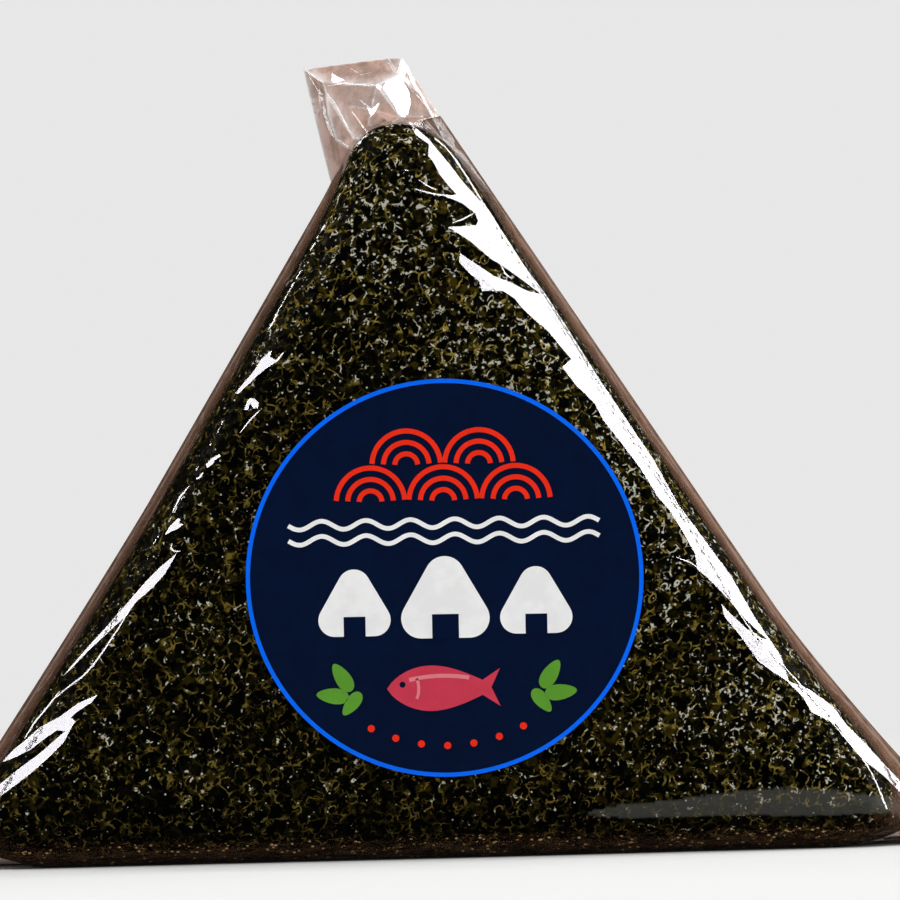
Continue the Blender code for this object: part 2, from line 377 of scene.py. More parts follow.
class Shader:
    """A material's node tree, built up by short calls."""

    def __init__(self, name):
        self.material = bpy.data.materials.new(name)
        self.material.use_nodes = True
        self.tree = self.material.node_tree
        self.tree.nodes.clear()
        self.output = self.add("ShaderNodeOutputMaterial")

    def add(self, kind, **settings):
        node = self.tree.nodes.new(kind)
        for key, value in settings.items():
            setattr(node, key, value)
        return node

    def put(self, socket, value):
        if hasattr(value, "is_linked"):
            self.tree.links.new(value, socket)
        else:
            socket.default_value = value

    def math(self, operation, *values):
        node = self.add("ShaderNodeMath", operation=operation)
        for socket, value in zip(node.inputs, values):
            self.put(socket, value)
        return node.outputs[0]

    def times(self, first, second):
        return self.math("MULTIPLY", first, second)

    def minus(self, first, second):
        return self.math("SUBTRACT", first, second)

    def most(self, first, second):
        return self.math("MAXIMUM", first, second)

    def away(self, value, middle):
        return self.math("ABSOLUTE", self.minus(value, middle))

    def field(self, name):
        return self.add("ShaderNodeAttribute", attribute_name=name).outputs["Fac"]

    def range(self, value, low, high, to_low=0.0, to_high=1.0):
        node = self.add("ShaderNodeMapRange", interpolation_type="SMOOTHSTEP")
        for socket, number in zip(node.inputs, (value, low, high, to_low, to_high)):
            self.put(socket, number)
        return node.outputs[0]

    def mix(self, share, first, second):
        node = self.add("ShaderNodeMix", data_type="RGBA")
        self.put(node.inputs["Factor"], share)
        self.put(node.inputs[6], first)
        self.put(node.inputs[7], second)
        return node.outputs[2]

    def place(self):
        """Object coordinates in millimetres."""
        coordinates = self.add("ShaderNodeTexCoord")
        scale = self.add("ShaderNodeVectorMath", operation="SCALE")
        self.put(scale.inputs[0], coordinates.outputs["Object"])
        scale.inputs["Scale"].default_value = 1 / MM
        return scale.outputs[0]

    def shifted(self, vector, offset, stretch=(1.0, 1.0, 1.0)):
        node = self.add("ShaderNodeMapping")
        self.put(node.inputs["Vector"], vector)
        node.inputs["Location"].default_value = offset
        node.inputs["Scale"].default_value = stretch
        return node.outputs[0]

    def noise(self, vector, scale, detail=2.0, rough=0.5, at=None):
        node = self.add("ShaderNodeTexNoise")
        self.put(node.inputs["Vector"], self.shifted(vector, at) if at else vector)
        node.inputs["Scale"].default_value = scale
        node.inputs["Detail"].default_value = detail
        node.inputs["Roughness"].default_value = rough
        return node.outputs["Fac"]

    def cells(self, vector, scale, feature="F1"):
        node = self.add("ShaderNodeTexVoronoi", feature=feature)
        self.put(node.inputs["Vector"], vector)
        node.inputs["Scale"].default_value = scale
        return node

    def bump(self, height, strength, distance):
        node = self.add("ShaderNodeBump")
        node.inputs["Strength"].default_value = strength
        node.inputs["Distance"].default_value = distance
        self.put(node.inputs["Height"], height)
        return node.outputs[0]

    def principled(self, colour, roughness, **inputs):
        node = self.add("ShaderNodeBsdfPrincipled")
        self.put(node.inputs["Base Color"], colour)
        self.put(node.inputs["Roughness"], roughness)
        for name, value in inputs.items():
            self.put(node.inputs[name.replace("_", " ")], value)
        return node

    def blend(self, share, first, second):
        node = self.add("ShaderNodeMixShader")
        for socket, value in zip(node.inputs, (share, first, second)):
            self.put(socket, value.outputs[0] if hasattr(value, "outputs") else value)
        return node

    def finish(self, shader):
        self.tree.links.new(shader.outputs[0], self.output.inputs["Surface"])
        return self.material


def nori_material():
    """Near-black seaweed: olive patches, golden ridges and arcs, painted glints and sparks, painted sheen."""
    s = Shader("nori")
    place = s.place()
    bend = s.add("ShaderNodeTexNoise")
    s.put(bend.inputs["Vector"], place)
    bend.inputs["Scale"].default_value = 0.8
    bend.inputs["Detail"].default_value = 2.0
    move = s.add("ShaderNodeVectorMath", operation="MULTIPLY_ADD")
    s.put(move.inputs[0], bend.outputs["Color"])
    move.inputs[1].default_value = (0.9, 0.9, 0.9)
    s.put(move.inputs[2], place)
    bent = move.outputs[0]

    # Painted light: the field brightens the marks and adds glints towards the right side; a noise varies it
    # at random
    rich = s.times(s.field("rich"), s.range(s.noise(place, 0.10, at=(4, 4, 4)), 0.35, 0.62, 0.7, 1.0))
    patches = s.range(s.noise(bent, 0.80, 3.0, at=(7, 3, 1)), 0.47, 0.70)
    amber = s.range(s.noise(bent, 0.9, 1.0, at=(1, 8, 3)), 0.58, 0.72)

    borders = s.cells(bent, 0.80, "DISTANCE_TO_EDGE").outputs["Distance"]
    broken = s.range(s.noise(place, 1.1, at=(5, 1, 8)), 0.46, 0.56)
    ridges = s.times(s.range(borders, 0.110, 0.035), broken)
    cores = s.times(s.range(borders, 0.070, 0.035), broken)
    lines = s.away(s.noise(bent, 1.2, 1.0, at=(2, 9, 4)), 0.5)
    cut = s.range(s.noise(place, 1.3, at=(3, 6, 1)), 0.53, 0.60)
    strokes = s.times(s.range(lines, 0.032, 0.014), cut)

    turned = s.add("ShaderNodeVectorRotate", rotation_type="Y_AXIS")
    s.put(turned.inputs["Vector"], place)
    turned.inputs["Angle"].default_value = ARC_ANGLE
    rings = s.cells(s.shifted(turned.outputs[0], (2, 2, 7), (0.70, 1.0, 1.1)), 0.85).outputs["Distance"]
    open_arc = s.range(s.noise(place, 0.8, 0.0, at=(6, 6, 3)), 0.50, 0.55)
    arcs = s.times(s.range(s.away(rings, 0.37), 0.060, 0.025), open_arc)
    marks = s.most(arcs, s.most(cores, strokes))
    # Painted highlights: white glints on some of the marks, more of them where the painted light is stronger
    light_from = s.minus(0.735, s.times(rich, 0.22))
    painted_glints = s.times(marks, s.range(s.minus(s.noise(place, 1.3, at=(9, 2, 2)), light_from), 0.0, 0.03))
    # The gold of the marks is partly the nori's own colour and partly painted highlight
    gold = s.mix(s.range(s.noise(place, 1.1, at=(2, 7, 5)), 0.44, 0.64), DARK_GOLD, BRIGHT_GOLD)

    # Painted highlights: small pale sparks, orange near the base, more where the painted light is stronger
    dots = s.cells(s.shifted(place, (1, 4, 6)), 1.9)
    pick = s.add("ShaderNodeSeparateColor")
    s.put(pick.inputs[0], dots.outputs["Color"])
    chosen = s.minus(pick.outputs[0], s.minus(0.83, s.times(rich, 0.30)))
    painted_sparks = s.range(s.minus(dots.outputs["Distance"], s.times(chosen, 0.68)), 0.04, -0.03)

    colour = s.mix(s.times(patches, rich), NORI_BLACK, NORI_OLIVE)
    colour = s.mix(s.times(amber, rich), colour, NORI_AMBER)
    colour = s.mix(s.times(ridges, rich), colour, NORI_RIDGE)
    colour = s.mix(s.times(marks, rich), colour, gold)
    colour = s.mix(painted_glints, colour, PAINTED_GLINT)
    colour = s.mix(painted_sparks, colour, s.mix(s.field("brown"), PAINTED_SPARK, LOW_PAINTED_SPARK))
    colour = s.mix(s.times(s.field("sheen"), SHEEN_SHARE), colour, SHEEN_GREY)

    fine = s.noise(bent, 2.4, 3.0, 0.6)
    height = s.math("ADD", s.times(s.most(ridges, strokes), 0.8), s.times(fine, 0.5))
    roughness = s.range(s.noise(place, 1.7), 0.3, 0.7, 0.24, 0.50)
    normal = s.bump(height, 1.0, 0.07 * MM)
    return s.finish(s.principled(colour, roughness, Specular_IOR_Level=0.05, Normal=normal))


WHITE = (1.0, 1.0, 1.0, 1)
GLOSS_WHITE = (0.95, 0.94, 1.0, 1)
# Painted reflection: the film is clear, and these tans stand for a table seen through and reflected in it.
# The pale one is lighter still, painted light against the shade at the lower corners.
FILM_REFLECTED_TAN = ((0.10, 0.038, 0.014, 1), (0.62, 0.325, 0.20, 1))
TAB_REFLECTED_TAN = ((0.36, 0.19, 0.135, 1), (0.68, 0.44, 0.36, 1))
PALE_REFLECTED_TAN = ((0.95, 0.70, 0.60, 1), (1.0, 0.82, 0.74, 1))
CREASE_AND_SHEEN_WHITE = (1.0, 0.96, 0.95, 1)
BEAD_GOLD = (1.0, 0.62, 0.26, 1)
CLEAR_FILM = (0.985, 0.98, 0.97, 1)


def film_material(name, tint, gloss, wrinkled=0.35, skin_colour=WHITE):
    """Clear film: see-through, with a glossy skin, and milky where the fields haze and crease say so.

    Light passes through more of it at a slant, so its haze is denser there. The haze's tan is a painted
    reflection: a table's colour, seen through and reflected in the film.
    """
    s = Shader(name)
    place = s.place()
    crease = s.field("crease")
    cloud = s.noise(place, 0.55, 4.0, 0.65, at=(3, 3, 3))
    streak = s.noise(s.shifted(place, (0, 0, 0), (0.9, 0.9, 0.25)), 1.4, 3.0, 0.6)
    haze = s.times(s.field("haze"), s.range(s.math("ADD", cloud, streak), 0.75, 1.25, 0.62, 1.15))
    weight = s.add("ShaderNodeLayerWeight")
    weight.inputs["Blend"].default_value = 0.5
    upright = s.most(s.minus(1.0, weight.outputs["Facing"]), 0.14)
    let_through = s.math("POWER", s.minus(1.0, haze), s.math("DIVIDE", 1.0, upright))
    cover = s.math("MINIMUM", s.math("ADD", s.minus(1.0, let_through), crease), 0.97)
    pale = s.times(s.field("tint"), s.range(cloud, 0.30, 0.62, 0.55, 1.0))
    colour = s.mix(pale, *tint)
    # White of the crease field: the creases' whitening, and on the tab a painted sheen too
    colour = s.mix(s.range(crease, 0.0, 0.35), colour, CREASE_AND_SHEEN_WHITE)

    string = s.away(s.noise(s.shifted(place, (0, 2, 0), (0.22, 0.0, 1.5)), 1.0, 1.0), 0.5)
    bead = s.cells(s.shifted(place, (0, 5, 0), (1.5, 0.0, 2.4)), 1.0).outputs["Distance"]
    along_string = s.times(s.most(s.range(bead, 0.36, 0.16), 0.14), s.range(string, 0.095, 0.050))
    beads = s.times(along_string, s.field("beads"))
    colour = s.mix(beads, colour, BEAD_GOLD)
    cover = s.most(cover, s.times(beads, 0.8))

    normal = s.bump(s.noise(place, 0.9, at=(8, 2, 5)), wrinkled, 0.12 * MM)
    clear = s.add("ShaderNodeBsdfTransparent")
    clear.inputs["Color"].default_value = CLEAR_FILM
    skin = s.add("ShaderNodeBsdfGlossy")
    skin.inputs["Color"].default_value = skin_colour
    skin.inputs["Roughness"].default_value = 0.06
    s.put(skin.inputs["Normal"], normal)
    edge = s.add("ShaderNodeFresnel")
    edge.inputs["IOR"].default_value = 1.5
    s.put(edge.inputs["Normal"], normal)
    shine = s.math("MINIMUM", s.times(edge.outputs[0], gloss), 0.6)
    return s.finish(s.blend(shine, s.blend(cover, clear, s.principled(colour, 0.35, Normal=normal)), skin))


def print_material(name, colour, roughness=0.45, mottled=0.93):
    """Printed ink or paper with a faint mottle and grain."""
    s = Shader(name)
    place = s.place()
    deeper = tuple(channel * mottled for channel in colour[:3]) + (1.0,)
    shade = s.mix(s.range(s.noise(place, 0.5, 4.0, 0.6), 0.35, 0.65), deeper, colour)
    normal = s.bump(s.noise(place, 9.0), 0.12, 0.02 * MM)
    return s.finish(s.principled(shade, roughness, Specular_IOR_Level=0.08, Normal=normal))


# Nori

def scattered(values, size=43758.5453):
    """Numbers between 0 and 1 in no visible order: what follows the point of a large sine."""
    large = np.sin(values) * size
    return large - np.floor(large)


def cell_borders(points, size, seed):
    """How near each point lies to the borders of an irregular pattern of cells: 1 on them, 0 well inside."""
    grid = points / size
    base = np.floor(grid)
    first = np.full(len(points), 9.0)
    second = np.full(len(points), 9.0)
    for i in (-1, 0, 1):
        for j in (-1, 0, 1):
            cell = base + (i, j)
            across = scattered(cell @ (127.1, 311.7) + seed)
            up = scattered(cell @ (269.5, 183.3) + seed, 24634.6345)
            centre = cell + np.column_stack((across, up))
            gap = np.linalg.norm(grid - centre, axis=1)
            second = np.where(gap < first, first, np.minimum(second, gap))
            first = np.minimum(first, gap)
    return np.exp(-((second - first) / BORDER_WIDTH) ** 2)


def nori_surface(points, front):
    seed = FRONT_SEED if front else BACK_SEED
    core, distance = nearest_on_core(points)
    radius = NORI_EDGE_RADIUS
    turn = np.clip(distance / radius, 0.0, math.pi / 2)
    wall = np.maximum(distance - radius * math.pi / 2, 0.0)
    directions = unit(points - core)
    out = radius * np.sin(turn) * corner_stretch(core, directions)
    flat = core + directions * out[:, None]
    face = half_thickness(core, seed) - NORI_UNDER_FILM
    depth = face - radius * (1.0 - np.cos(turn)) - wall
    x, z = warped(flat[:, 0], flat[:, 1], np.zeros(len(points)))
    sign = -1.0 if front else 1.0
    return np.column_stack((x - CENTRING, sign * depth, z))


def nori_end(core, seed):
    """How far the nori goes on from the core, along its skin, up to mid depth."""
    return NORI_EDGE_RADIUS * (math.pi / 2 - 1) + half_thickness(core, seed) - NORI_UNDER_FILM


def make_nori(name, front, spacing, material):
    seed = FRONT_SEED if front else BACK_SEED
    loop, directions = core_loop(RIM_STEP)
    boundary = loop + directions * nori_end(loop, seed)[:, None]

    def on_face(points):
        return nearest_on_core(points)[1] < NORI_FACE_END

    def on_wall(points):
        core, distance = nearest_on_core(points)
        return (distance >= NORI_FACE_END) & (distance < nori_end(core, seed) - RIM_GAP)

    inner = np.vstack((lattice(spacing, on_face), lattice(NORI_WALL_STEP, on_wall)))
    flat, faces = triangulated(boundary, inner)
    vertices = nori_surface(flat, front)
    if not front:
        faces = faces[:, ::-1]
    core, distance = nearest_on_core(flat)
    calm = np.clip((nori_end(core, seed) - distance) / NORI_CALM, 0.0, 1.0)
    shake_size, shake_reach = RELIEF_SHAKE
    shake = np.array([noise.noise_vector(Vector((a, b, seed))) for a, b in flat / shake_size])[:, :2]
    bent = flat + shake * shake_reach
    relief = sum(height * cell_borders(bent, size, seed + extra) for height, size, extra in RELIEF)
    vertices += vertex_normals(vertices, faces) * (relief * calm)[:, None]
    vertices[:, 2] = np.maximum(vertices[:, 2], NORI_LEAST_Z)
    piece = new_piece(name, vertices, faces, material)

    # Painted light: the marks, patches and glints grow brighter and denser towards the right side, where the
    # key light falls; all of them fade towards the base
    to_right = (CORE_LINES["right"] - flat @ NORMALS["right"]) / MM
    rich = LEAST_MARKS + (1.0 - LEAST_MARKS) * smoothstep(*PAINTED_LIGHT_FROM_RIGHT, to_right)
    rich *= MARKS_LOW + (1.0 - MARKS_LOW) * smoothstep(*MARKS_LOW_HEIGHTS, flat[:, 1] / MM)
    add_fields(piece, rich=rich, brown=smoothstep(*BROWN_HEIGHTS, vertices[:, 2]))
    if front:
        outline = [photo_point(pixel, SHEEN_DEPTH) for pixel in SHEEN_OUTLINE]
        add_fields(piece, sheen=inside_outline(vertices[:, (0, 2)], outline))
    return piece


# Film

def film_reach(core, directions):
    """Distance from the core to the film's outer line, along an outward direction."""
    reach = np.full(len(core), np.inf)
    for name, line in FILM_LINES.items():
        normal = NORMALS[name]
        facing = directions @ normal
        gap = line - core @ normal
        reach = np.where(facing > 0.05, np.minimum(reach, gap / np.maximum(facing, 0.05)), reach)
    up = directions[:, 1]
    to_cut = (FILM_TOP_CUT - core[:, 1]) / np.maximum(up, 0.05)
    reach = np.where(up > 0.05, np.minimum(reach, to_cut), reach)
    return np.where(np.isfinite(reach), reach, FILM_EDGE_RADIUS)


def film_profile(core, directions, seed):
    """The circle that the film follows round an edge, and the straight fall to the crease line."""
    radius = FILM_EDGE_RADIUS
    reach = film_reach(core, directions)
    centre = half_thickness(core, seed) - radius
    far = np.hypot(reach, centre)
    leave = math.pi - np.arctan2(reach, centre) - np.arccos(np.clip(radius / far, 0.0, 1.0))
    fall = np.sqrt(np.maximum(far ** 2 - radius ** 2, 0.0))
    return reach, centre, leave, fall


def zigzag(along, step, seed):
    """A line of straight teeth of uneven height and length, between -1 and 1."""
    place = along / step
    place = place + 0.35 * np.sin(place * 1.7 + seed)
    low = np.floor(place)

    def tooth(index):
        return 2.0 * scattered(index * 127.1 + seed * 31.7) - 1.0

    return tooth(low) + (tooth(low + 1) - tooth(low)) * (place - low)


def facet_lift(turn, along, height, seed):
    """How far flat facets stand off the circle that they go round. Their lines zigzag along the edge."""
    inner = np.interp(height / MM, FACET_HEIGHTS, INNER_FACET)
    outer = np.interp(height / MM, FACET_HEIGHTS, OUTER_FACET)
    inner += FACET_SHAKE * zigzag(along, INNER_FACET_LENGTH, seed)
    outer += FACET_SHAKE * zigzag(along, OUTER_FACET_LENGTH, seed + 2)
    lift = np.full(len(turn), np.inf)
    for angle in (np.zeros(len(turn)), inner, outer, np.full(len(turn), LAST_FACET)):
        gap = np.abs(turn - np.radians(angle))
        lift = np.minimum(lift, FILM_EDGE_RADIUS * (1.0 / np.cos(np.minimum(gap, 1.2)) - 1.0))
    return lift


def segment_distance(points, a, b):
    """Signed distance to a segment: positive to the left of the way from a to b."""
    a, b = np.array(a), np.array(b)
    edge = b - a
    share = (points - a) @ edge / (edge @ edge)
    foot = a + np.clip(share, 0.0, 1.0)[:, None] * edge
    away = points - foot
    side = np.sign(edge[0] * away[:, 1] - edge[1] * away[:, 0])
    return side * np.linalg.norm(away, axis=1)


def photo_point(pixel, y):
    """Where a pixel of the photograph lies in the frame, at depth y."""
    scale = VIEW_WIDTH / PHOTO_PIXELS * (CAMERA_DISTANCE + y) / CAMERA_DISTANCE
    right, up = (pixel[0] - PHOTO_PIXELS / 2) * scale, (PHOTO_PIXELS / 2 - pixel[1]) * scale
    cos, sin = math.cos(CAMERA_ROLL), math.sin(CAMERA_ROLL)
    return VIEW_CENTRE.x + cos * right + sin * up, VIEW_CENTRE.z - sin * right + cos * up


def film_surface(points, front):
    """The film over one face, round its edge and out to the crease line, with its haze at each point."""
    seed = FRONT_SEED if front else BACK_SEED
    core, distance = nearest_on_core(points)
    directions = unit(points - core)
    reach, centre, leave, fall = film_profile(core, directions, seed)
    radius = FILM_EDGE_RADIUS
    turn = np.minimum(distance / radius, leave)
    onward = np.clip((distance - radius * leave) / fall, 0.0, 1.0)
    start = radius * np.sin(turn) * corner_stretch(core, directions)
    radial = start + (reach - start) * onward
    depth = (centre + radius * np.cos(turn)) * (1.0 - onward)
    along = core[:, 1] * 1.2 + core[:, 0] * 0.8
    lift = facet_lift(turn, along, core[:, 1], seed) * (distance > 0) * (1.0 - smoothstep(0.0, 0.3, onward))
    radial += lift * np.sin(turn)
    depth += lift * np.cos(turn)
    folds = zigzag(along, FOLD_LENGTH, seed + 5)
    radial += FOLD_DEPTH * folds * np.sin(math.pi * onward)
    if front:
        from_label = np.hypot(core[:, 0] - LABEL_CENTRE[0], core[:, 1] - LABEL_CENTRE[1]) - LABEL_RADIUS
        depth += UNDER_LABEL_LIFT * (1.0 - smoothstep(*UNDER_LABEL_FADE, from_label)) * (1.0 - onward)
    flat = core + directions * radial[:, None]
    x, z = warped(flat[:, 0], flat[:, 1], onward)
    sign = -1.0 if front else 1.0
    vertices = np.column_stack((x - CENTRING, sign * depth, np.maximum(z, FILM_FLOOR)))

    # The fields: edge runs from 0 on the face to 1 at the rim, side is 0 at the base, ear is 1 at the corners
    side = 1.0 - smoothstep(*SIDE_FACING, directions @ NORMALS["base"])
    begin = radius * (EDGE_BEGINS[0] + (EDGE_BEGINS[1] - EDGE_BEGINS[0]) * side)
    edge = np.clip((radial - begin) / (reach - begin), 0.0, 1.0)
    edge[distance == 0] = 0.0
    facing = np.max([directions @ normal for normal in NORMALS.values()], axis=0)
    low_corner = core[:, 1] < CORNER_BELOW_Z
    ear = smoothstep(*EAR_ONWARD, onward) * smoothstep(*EAR_FACING, facing) * low_corner
    haze = (BASE_HAZE + SIDE_HAZE * side) * smoothstep(*EDGE_HAZE_FROM, edge)
    haze = np.maximum(haze, CORNER_HAZE * ear)
    # Painted reflection: how much of the table's pale tan shows in the haze, more towards the rim and the
    # top, less on the left
    high = smoothstep(*TOP_REFLECTED_TAN_HEIGHTS, core[:, 1])
    from_edge = LEAST_REFLECTED_TAN + (1.0 - LEAST_REFLECTED_TAN) * smoothstep(*EDGE_REFLECTED_TAN_FROM, edge)
    tint = np.maximum(from_edge, high) * side
    top_right = smoothstep(*TOP_RIGHT_HEIGHTS, z) * smoothstep(*TOP_RIGHT_FACING, directions[:, 0])
    haze *= 1.0 - TOP_RIGHT_CLEAR * top_right
    tint *= 1.0 - LEFT_REFLECTED_TAN_LOSS * smoothstep(*LEFT_REACH, core[:, 0])
    tint = np.maximum(tint, ear)
    low = smoothstep(*LOW_HEIGHTS, z) * (1.0 - side) * (1.0 - ear)
    haze += LOW_HAZE * low
    tint += LOW_REFLECTED_TAN * low
    strength, at, wide = EDGE_CREASE
    crease = strength * np.exp(-((edge - at) / wide) ** 2) * side
    strength, sway, wide = SIDE_FOLD_CREASE
    crossing_fold = np.exp(-((onward - 0.5 - sway * folds) / wide) ** 2) * (distance > 0)
    crease = np.maximum(crease, strength * crossing_fold * side)
    under_tab = inside_outline(np.column_stack((x, z)), [tab_corner(name) for name in TAB_OUTLINE])
    haze *= 1.0 - UNDER_TAB_CLEAR * under_tab
    crease *= 1.0 - under_tab
    beads = smoothstep(*BEAD_HEIGHTS, z) * (1.0 - side) * (distance > 0)
    if not front:
        for start, end in BACK_FOLDS:
            gap = segment_distance(flat, np.array(start) * MM, np.array(end) * MM)
            crease = np.maximum(crease, BACK_FOLD_CREASE * np.exp(-(gap / BACK_FOLD_WIDTH) ** 2))
    return vertices, {"haze": haze, "tint": tint, "crease": crease, "beads": beads}


# Outlines of the glossy patches, traced as pixels of the photograph. The long one runs down its outer edge
# and back up its inner one.
RIGHT_PATCH = (
    (409, 120), (429, 138), (448, 161), (465, 183), (489, 209), (503, 231), (522, 261), (547, 295),
    (575, 339), (600, 379), (627, 419), (654, 459), (678, 503), (699, 531), (732, 576), (754, 615),
    (781, 655), (789, 680), (809, 688), (834, 706), (846, 723), (866, 743), (885, 764), (904, 784),
    (904, 795), (885, 776), (864, 759), (846, 737), (836, 723), (811, 711), (803, 696), (787, 680),
    (772, 670), (758, 660), (742, 637), (724, 615), (721, 602), (730, 612), (746, 627), (762, 637),
    (767, 638), (746, 619), (730, 600), (711, 580), (697, 568), (695, 553), (683, 531), (670, 510),
    (658, 496), (640, 467), (622, 443), (603, 419), (595, 403), (576, 384), (562, 366), (571, 358),
    (556, 340), (548, 330), (536, 320), (523, 308), (514, 297), (503, 290), (482, 290), (479, 280),
    (469, 272), (459, 261), (460, 252), (470, 259), (484, 268), (494, 275), (510, 281), (528, 290),
    (541, 293), (528, 283), (503, 265), (491, 258), (470, 240), (448, 226), (476, 224), (478, 220),
    (475, 212), (462, 202), (444, 195), (456, 193), (448, 184), (440, 174), (434, 162), (428, 154),
    (429, 143), (416, 134),
)
LEFT_PATCHES = (
    ((177, 552), (165, 573), (151, 588), (137, 600), (127, 614), (104, 635), (87, 651), (71, 668), (62, 676),
     (78, 657), (94, 639), (108, 624), (122, 608), (134, 594), (146, 580), (160, 566)),
    ((98, 693), (78, 702), (59, 716), (40, 726), (23, 741), (12, 750), (1, 762), (14, 757), (31, 748),
     (47, 736), (57, 729), (68, 730), (76, 720), (71, 716), (78, 710), (92, 701)),
    ((74, 722), (57, 737), (40, 752), (21, 766), (0, 783), (-14, 796), (-10, 803), (14, 785), (31, 772),
     (47, 758), (64, 741)),
    ((165, 534), (169, 526), (178, 517), (181, 518), (179, 522), (184, 523), (179, 527), (172, 530)),
    ((235, 392), (247, 378), (253, 371), (261, 358), (272, 349), (270, 356), (276, 359), (282, 352),
     (284, 351), (279, 359), (267, 367), (258, 374), (251, 381), (244, 387), (238, 393)),
    ((244, 409), (247, 400), (250, 397), (255, 398), (259, 402), (258, 407), (253, 407), (250, 402),
     (248, 409)),
    ((206, 463), (212, 457), (219, 453), (221, 455), (215, 459), (213, 463), (207, 467)),
)
# Thin bright lines: the pixels they pass, and how wide they are in pixels
RIGHT_LINES = (
    ((415, 188), (426, 191), (440, 194), (450, 194), 1.6),
    ((419, 179), (428, 185), (437, 189), 1.3),
    ((452, 222), (463, 218), (474, 212), 1.6),
    ((500, 262), (505, 272), (512, 278), 1.4),
    ((676, 556), (690, 561), (697, 566), 1.3),
)
LEFT_LINES = (
    ((132, 604), (120, 625), (106, 646), (94, 663), (83, 675), (68, 686), (54, 698), 1.8),
    ((172, 542), (171, 547), (175, 550), (181, 550), 1.6),
    ((203, 471), (200, 476), (196, 478), 2.2),
    ((189, 485), (180, 496), (172, 512), 1.8),
    ((260, 409), (250, 419), (240, 432), 1.4),
    ((60, 690), (48, 705), (34, 722), (24, 738), 1.8),
)


def gloss_patches(name, outlines, lines, lean, towards, film, material, haze=0.02, milky=0.03,
                  depth=GLOSS_DEPTH, step=GLOSS_STEP):
    """Flat creased patches of the film, laid just over it and leaning all one way."""
    tree = surface_tree(film)
    vertices, faces = [], []
    for shape in list(outlines) + [tapered(path, width) for *path, width in lines]:
        flat = [photo_point(pixel, depth) for pixel in shape]
        points, triangles = filled([(x / MM, z / MM) for x, z in flat], step / MM)
        offset = len(vertices)
        for x, z in points:
            hit, _, _, _ = tree.ray_cast(Vector((x * MM, -1.0, z * MM)), Vector((0, 1, 0)))
            if hit is None:
                hit, _, _, _ = tree.find_nearest(Vector((x * MM, depth, z * MM)))
            vertices.append((x * MM, hit.y - GLOSS_LIFT, z * MM))
        faces += [tuple(offset + k for k in triangle) for triangle in triangles]
    vertices = np.array(vertices)
    piece = new_piece(name, vertices, np.array(faces), material)
    facing = half_way(towards, lean)
    normals = []
    for x, _, z in vertices:
        shake = noise.noise_vector(Vector((x, z, 0.0)) / GLOSS_SHAKE_SIZE) * GLOSS_SHAKE
        normals.append((facing + shake).normalized())
    piece.data.normals_split_custom_set_from_vertices(normals)
    add_fields(piece, haze=haze, tint=1.0, crease=milky)
    return piece


def tapered(path, width):
    """A thin line along a path, pointed at both ends."""
    path = np.array(path, dtype=float)
    count = len(path) * 5
    at = np.linspace(0, len(path) - 1, count)
    path = np.column_stack([np.interp(at, range(len(path)), path[:, k]) for k in (0, 1)])
    ahead = np.gradient(path, axis=0)
    ahead /= np.linalg.norm(ahead, axis=1, keepdims=True)
    half = width / 2 * np.sin(np.linspace(0.12, math.pi - 0.12, count)) ** 0.5
    square = np.column_stack((-ahead[:, 1], ahead[:, 0])) * half[:, None]
    return (path + square).tolist() + (path - square)[::-1].tolist()


def half_way(lateral, lean):
    """The direction that a surface faces when it leans by some degrees from the camera's side."""
    sideways = Vector((lateral[0], 0.0, lateral[1])).normalized()
    turned = math.radians(lean)
    return sideways * math.sin(turned) + Vector((0.0, -1.0, 0.0)) * math.cos(turned)


def make_film(name, front, material):
    seed = FRONT_SEED if front else BACK_SEED

    def rim(core, directions):
        _, _, leave, fall = film_profile(core, directions, seed)
        return FILM_EDGE_RADIUS * leave + fall

    def by_edge(points):
        inset = np.min([line - points @ NORMALS[side] for side, line in CORE_LINES.items()], axis=0)
        distance = nearest_on_core(points)[1]
        return (inset < FILM_EDGE_ZONE) & (distance < FILM_EDGE_TURN)

    def elsewhere(points):
        core, distance = nearest_on_core(points)
        return (distance < rim(core, unit(points - core)) - RIM_GAP) & ~by_edge(points)

    loop, directions = core_loop(RIM_STEP)
    fine, coarse = FILM_STEPS[front]
    inner = np.vstack((lattice(fine, by_edge), lattice(coarse, elsewhere)))
    flat, faces = triangulated(loop + directions * rim(loop, directions)[:, None], inner)
    vertices, fields = film_surface(flat, front)
    if not front:
        faces = faces[:, ::-1]
    piece = new_piece(name, vertices, faces, material)
    add_fields(piece, **fields)
    return piece


# The lap seam up the back, sealed in fine ribs, and the folds of the back. The photograph doesn't show the
# back.
SEAM_X = -2.2 * MM
SEAM_WIDTH = 6.4 * MM
SEAM_FOOT_Z = 1.5 * MM
SEAM_TOP_Z = 71.5 * MM
SEAM_LIFT = 0.10 * MM
SEAM_STEP = 0.25 * MM
SEAM_RIB_PITCH = 1.1 * MM
SEAM_RIB_HEIGHT = 0.04 * MM
SEAM_SEALED = 0.72  # the ribbed share of its width
SEAM_RIM_CREASE = 0.24
SEAM_RIM_WIDTH = 0.05
SEAM_RIB_CREASE = 0.05
SEAM_HAZE = 0.02
BACK_FOLDS = (
    ((-42.0, 1.5), (-29.0, 19.0)), ((-36.0, 1.0), (-30.5, 12.0)), ((40.0, 1.5), (27.0, 18.0)),
    ((34.0, 1.0), (28.5, 11.0)), ((-9.0, 54.0), (-3.0, 66.0)), ((12.0, 47.0), (6.0, 63.0)),
)
BACK_FOLD_WIDTH = 0.45 * MM


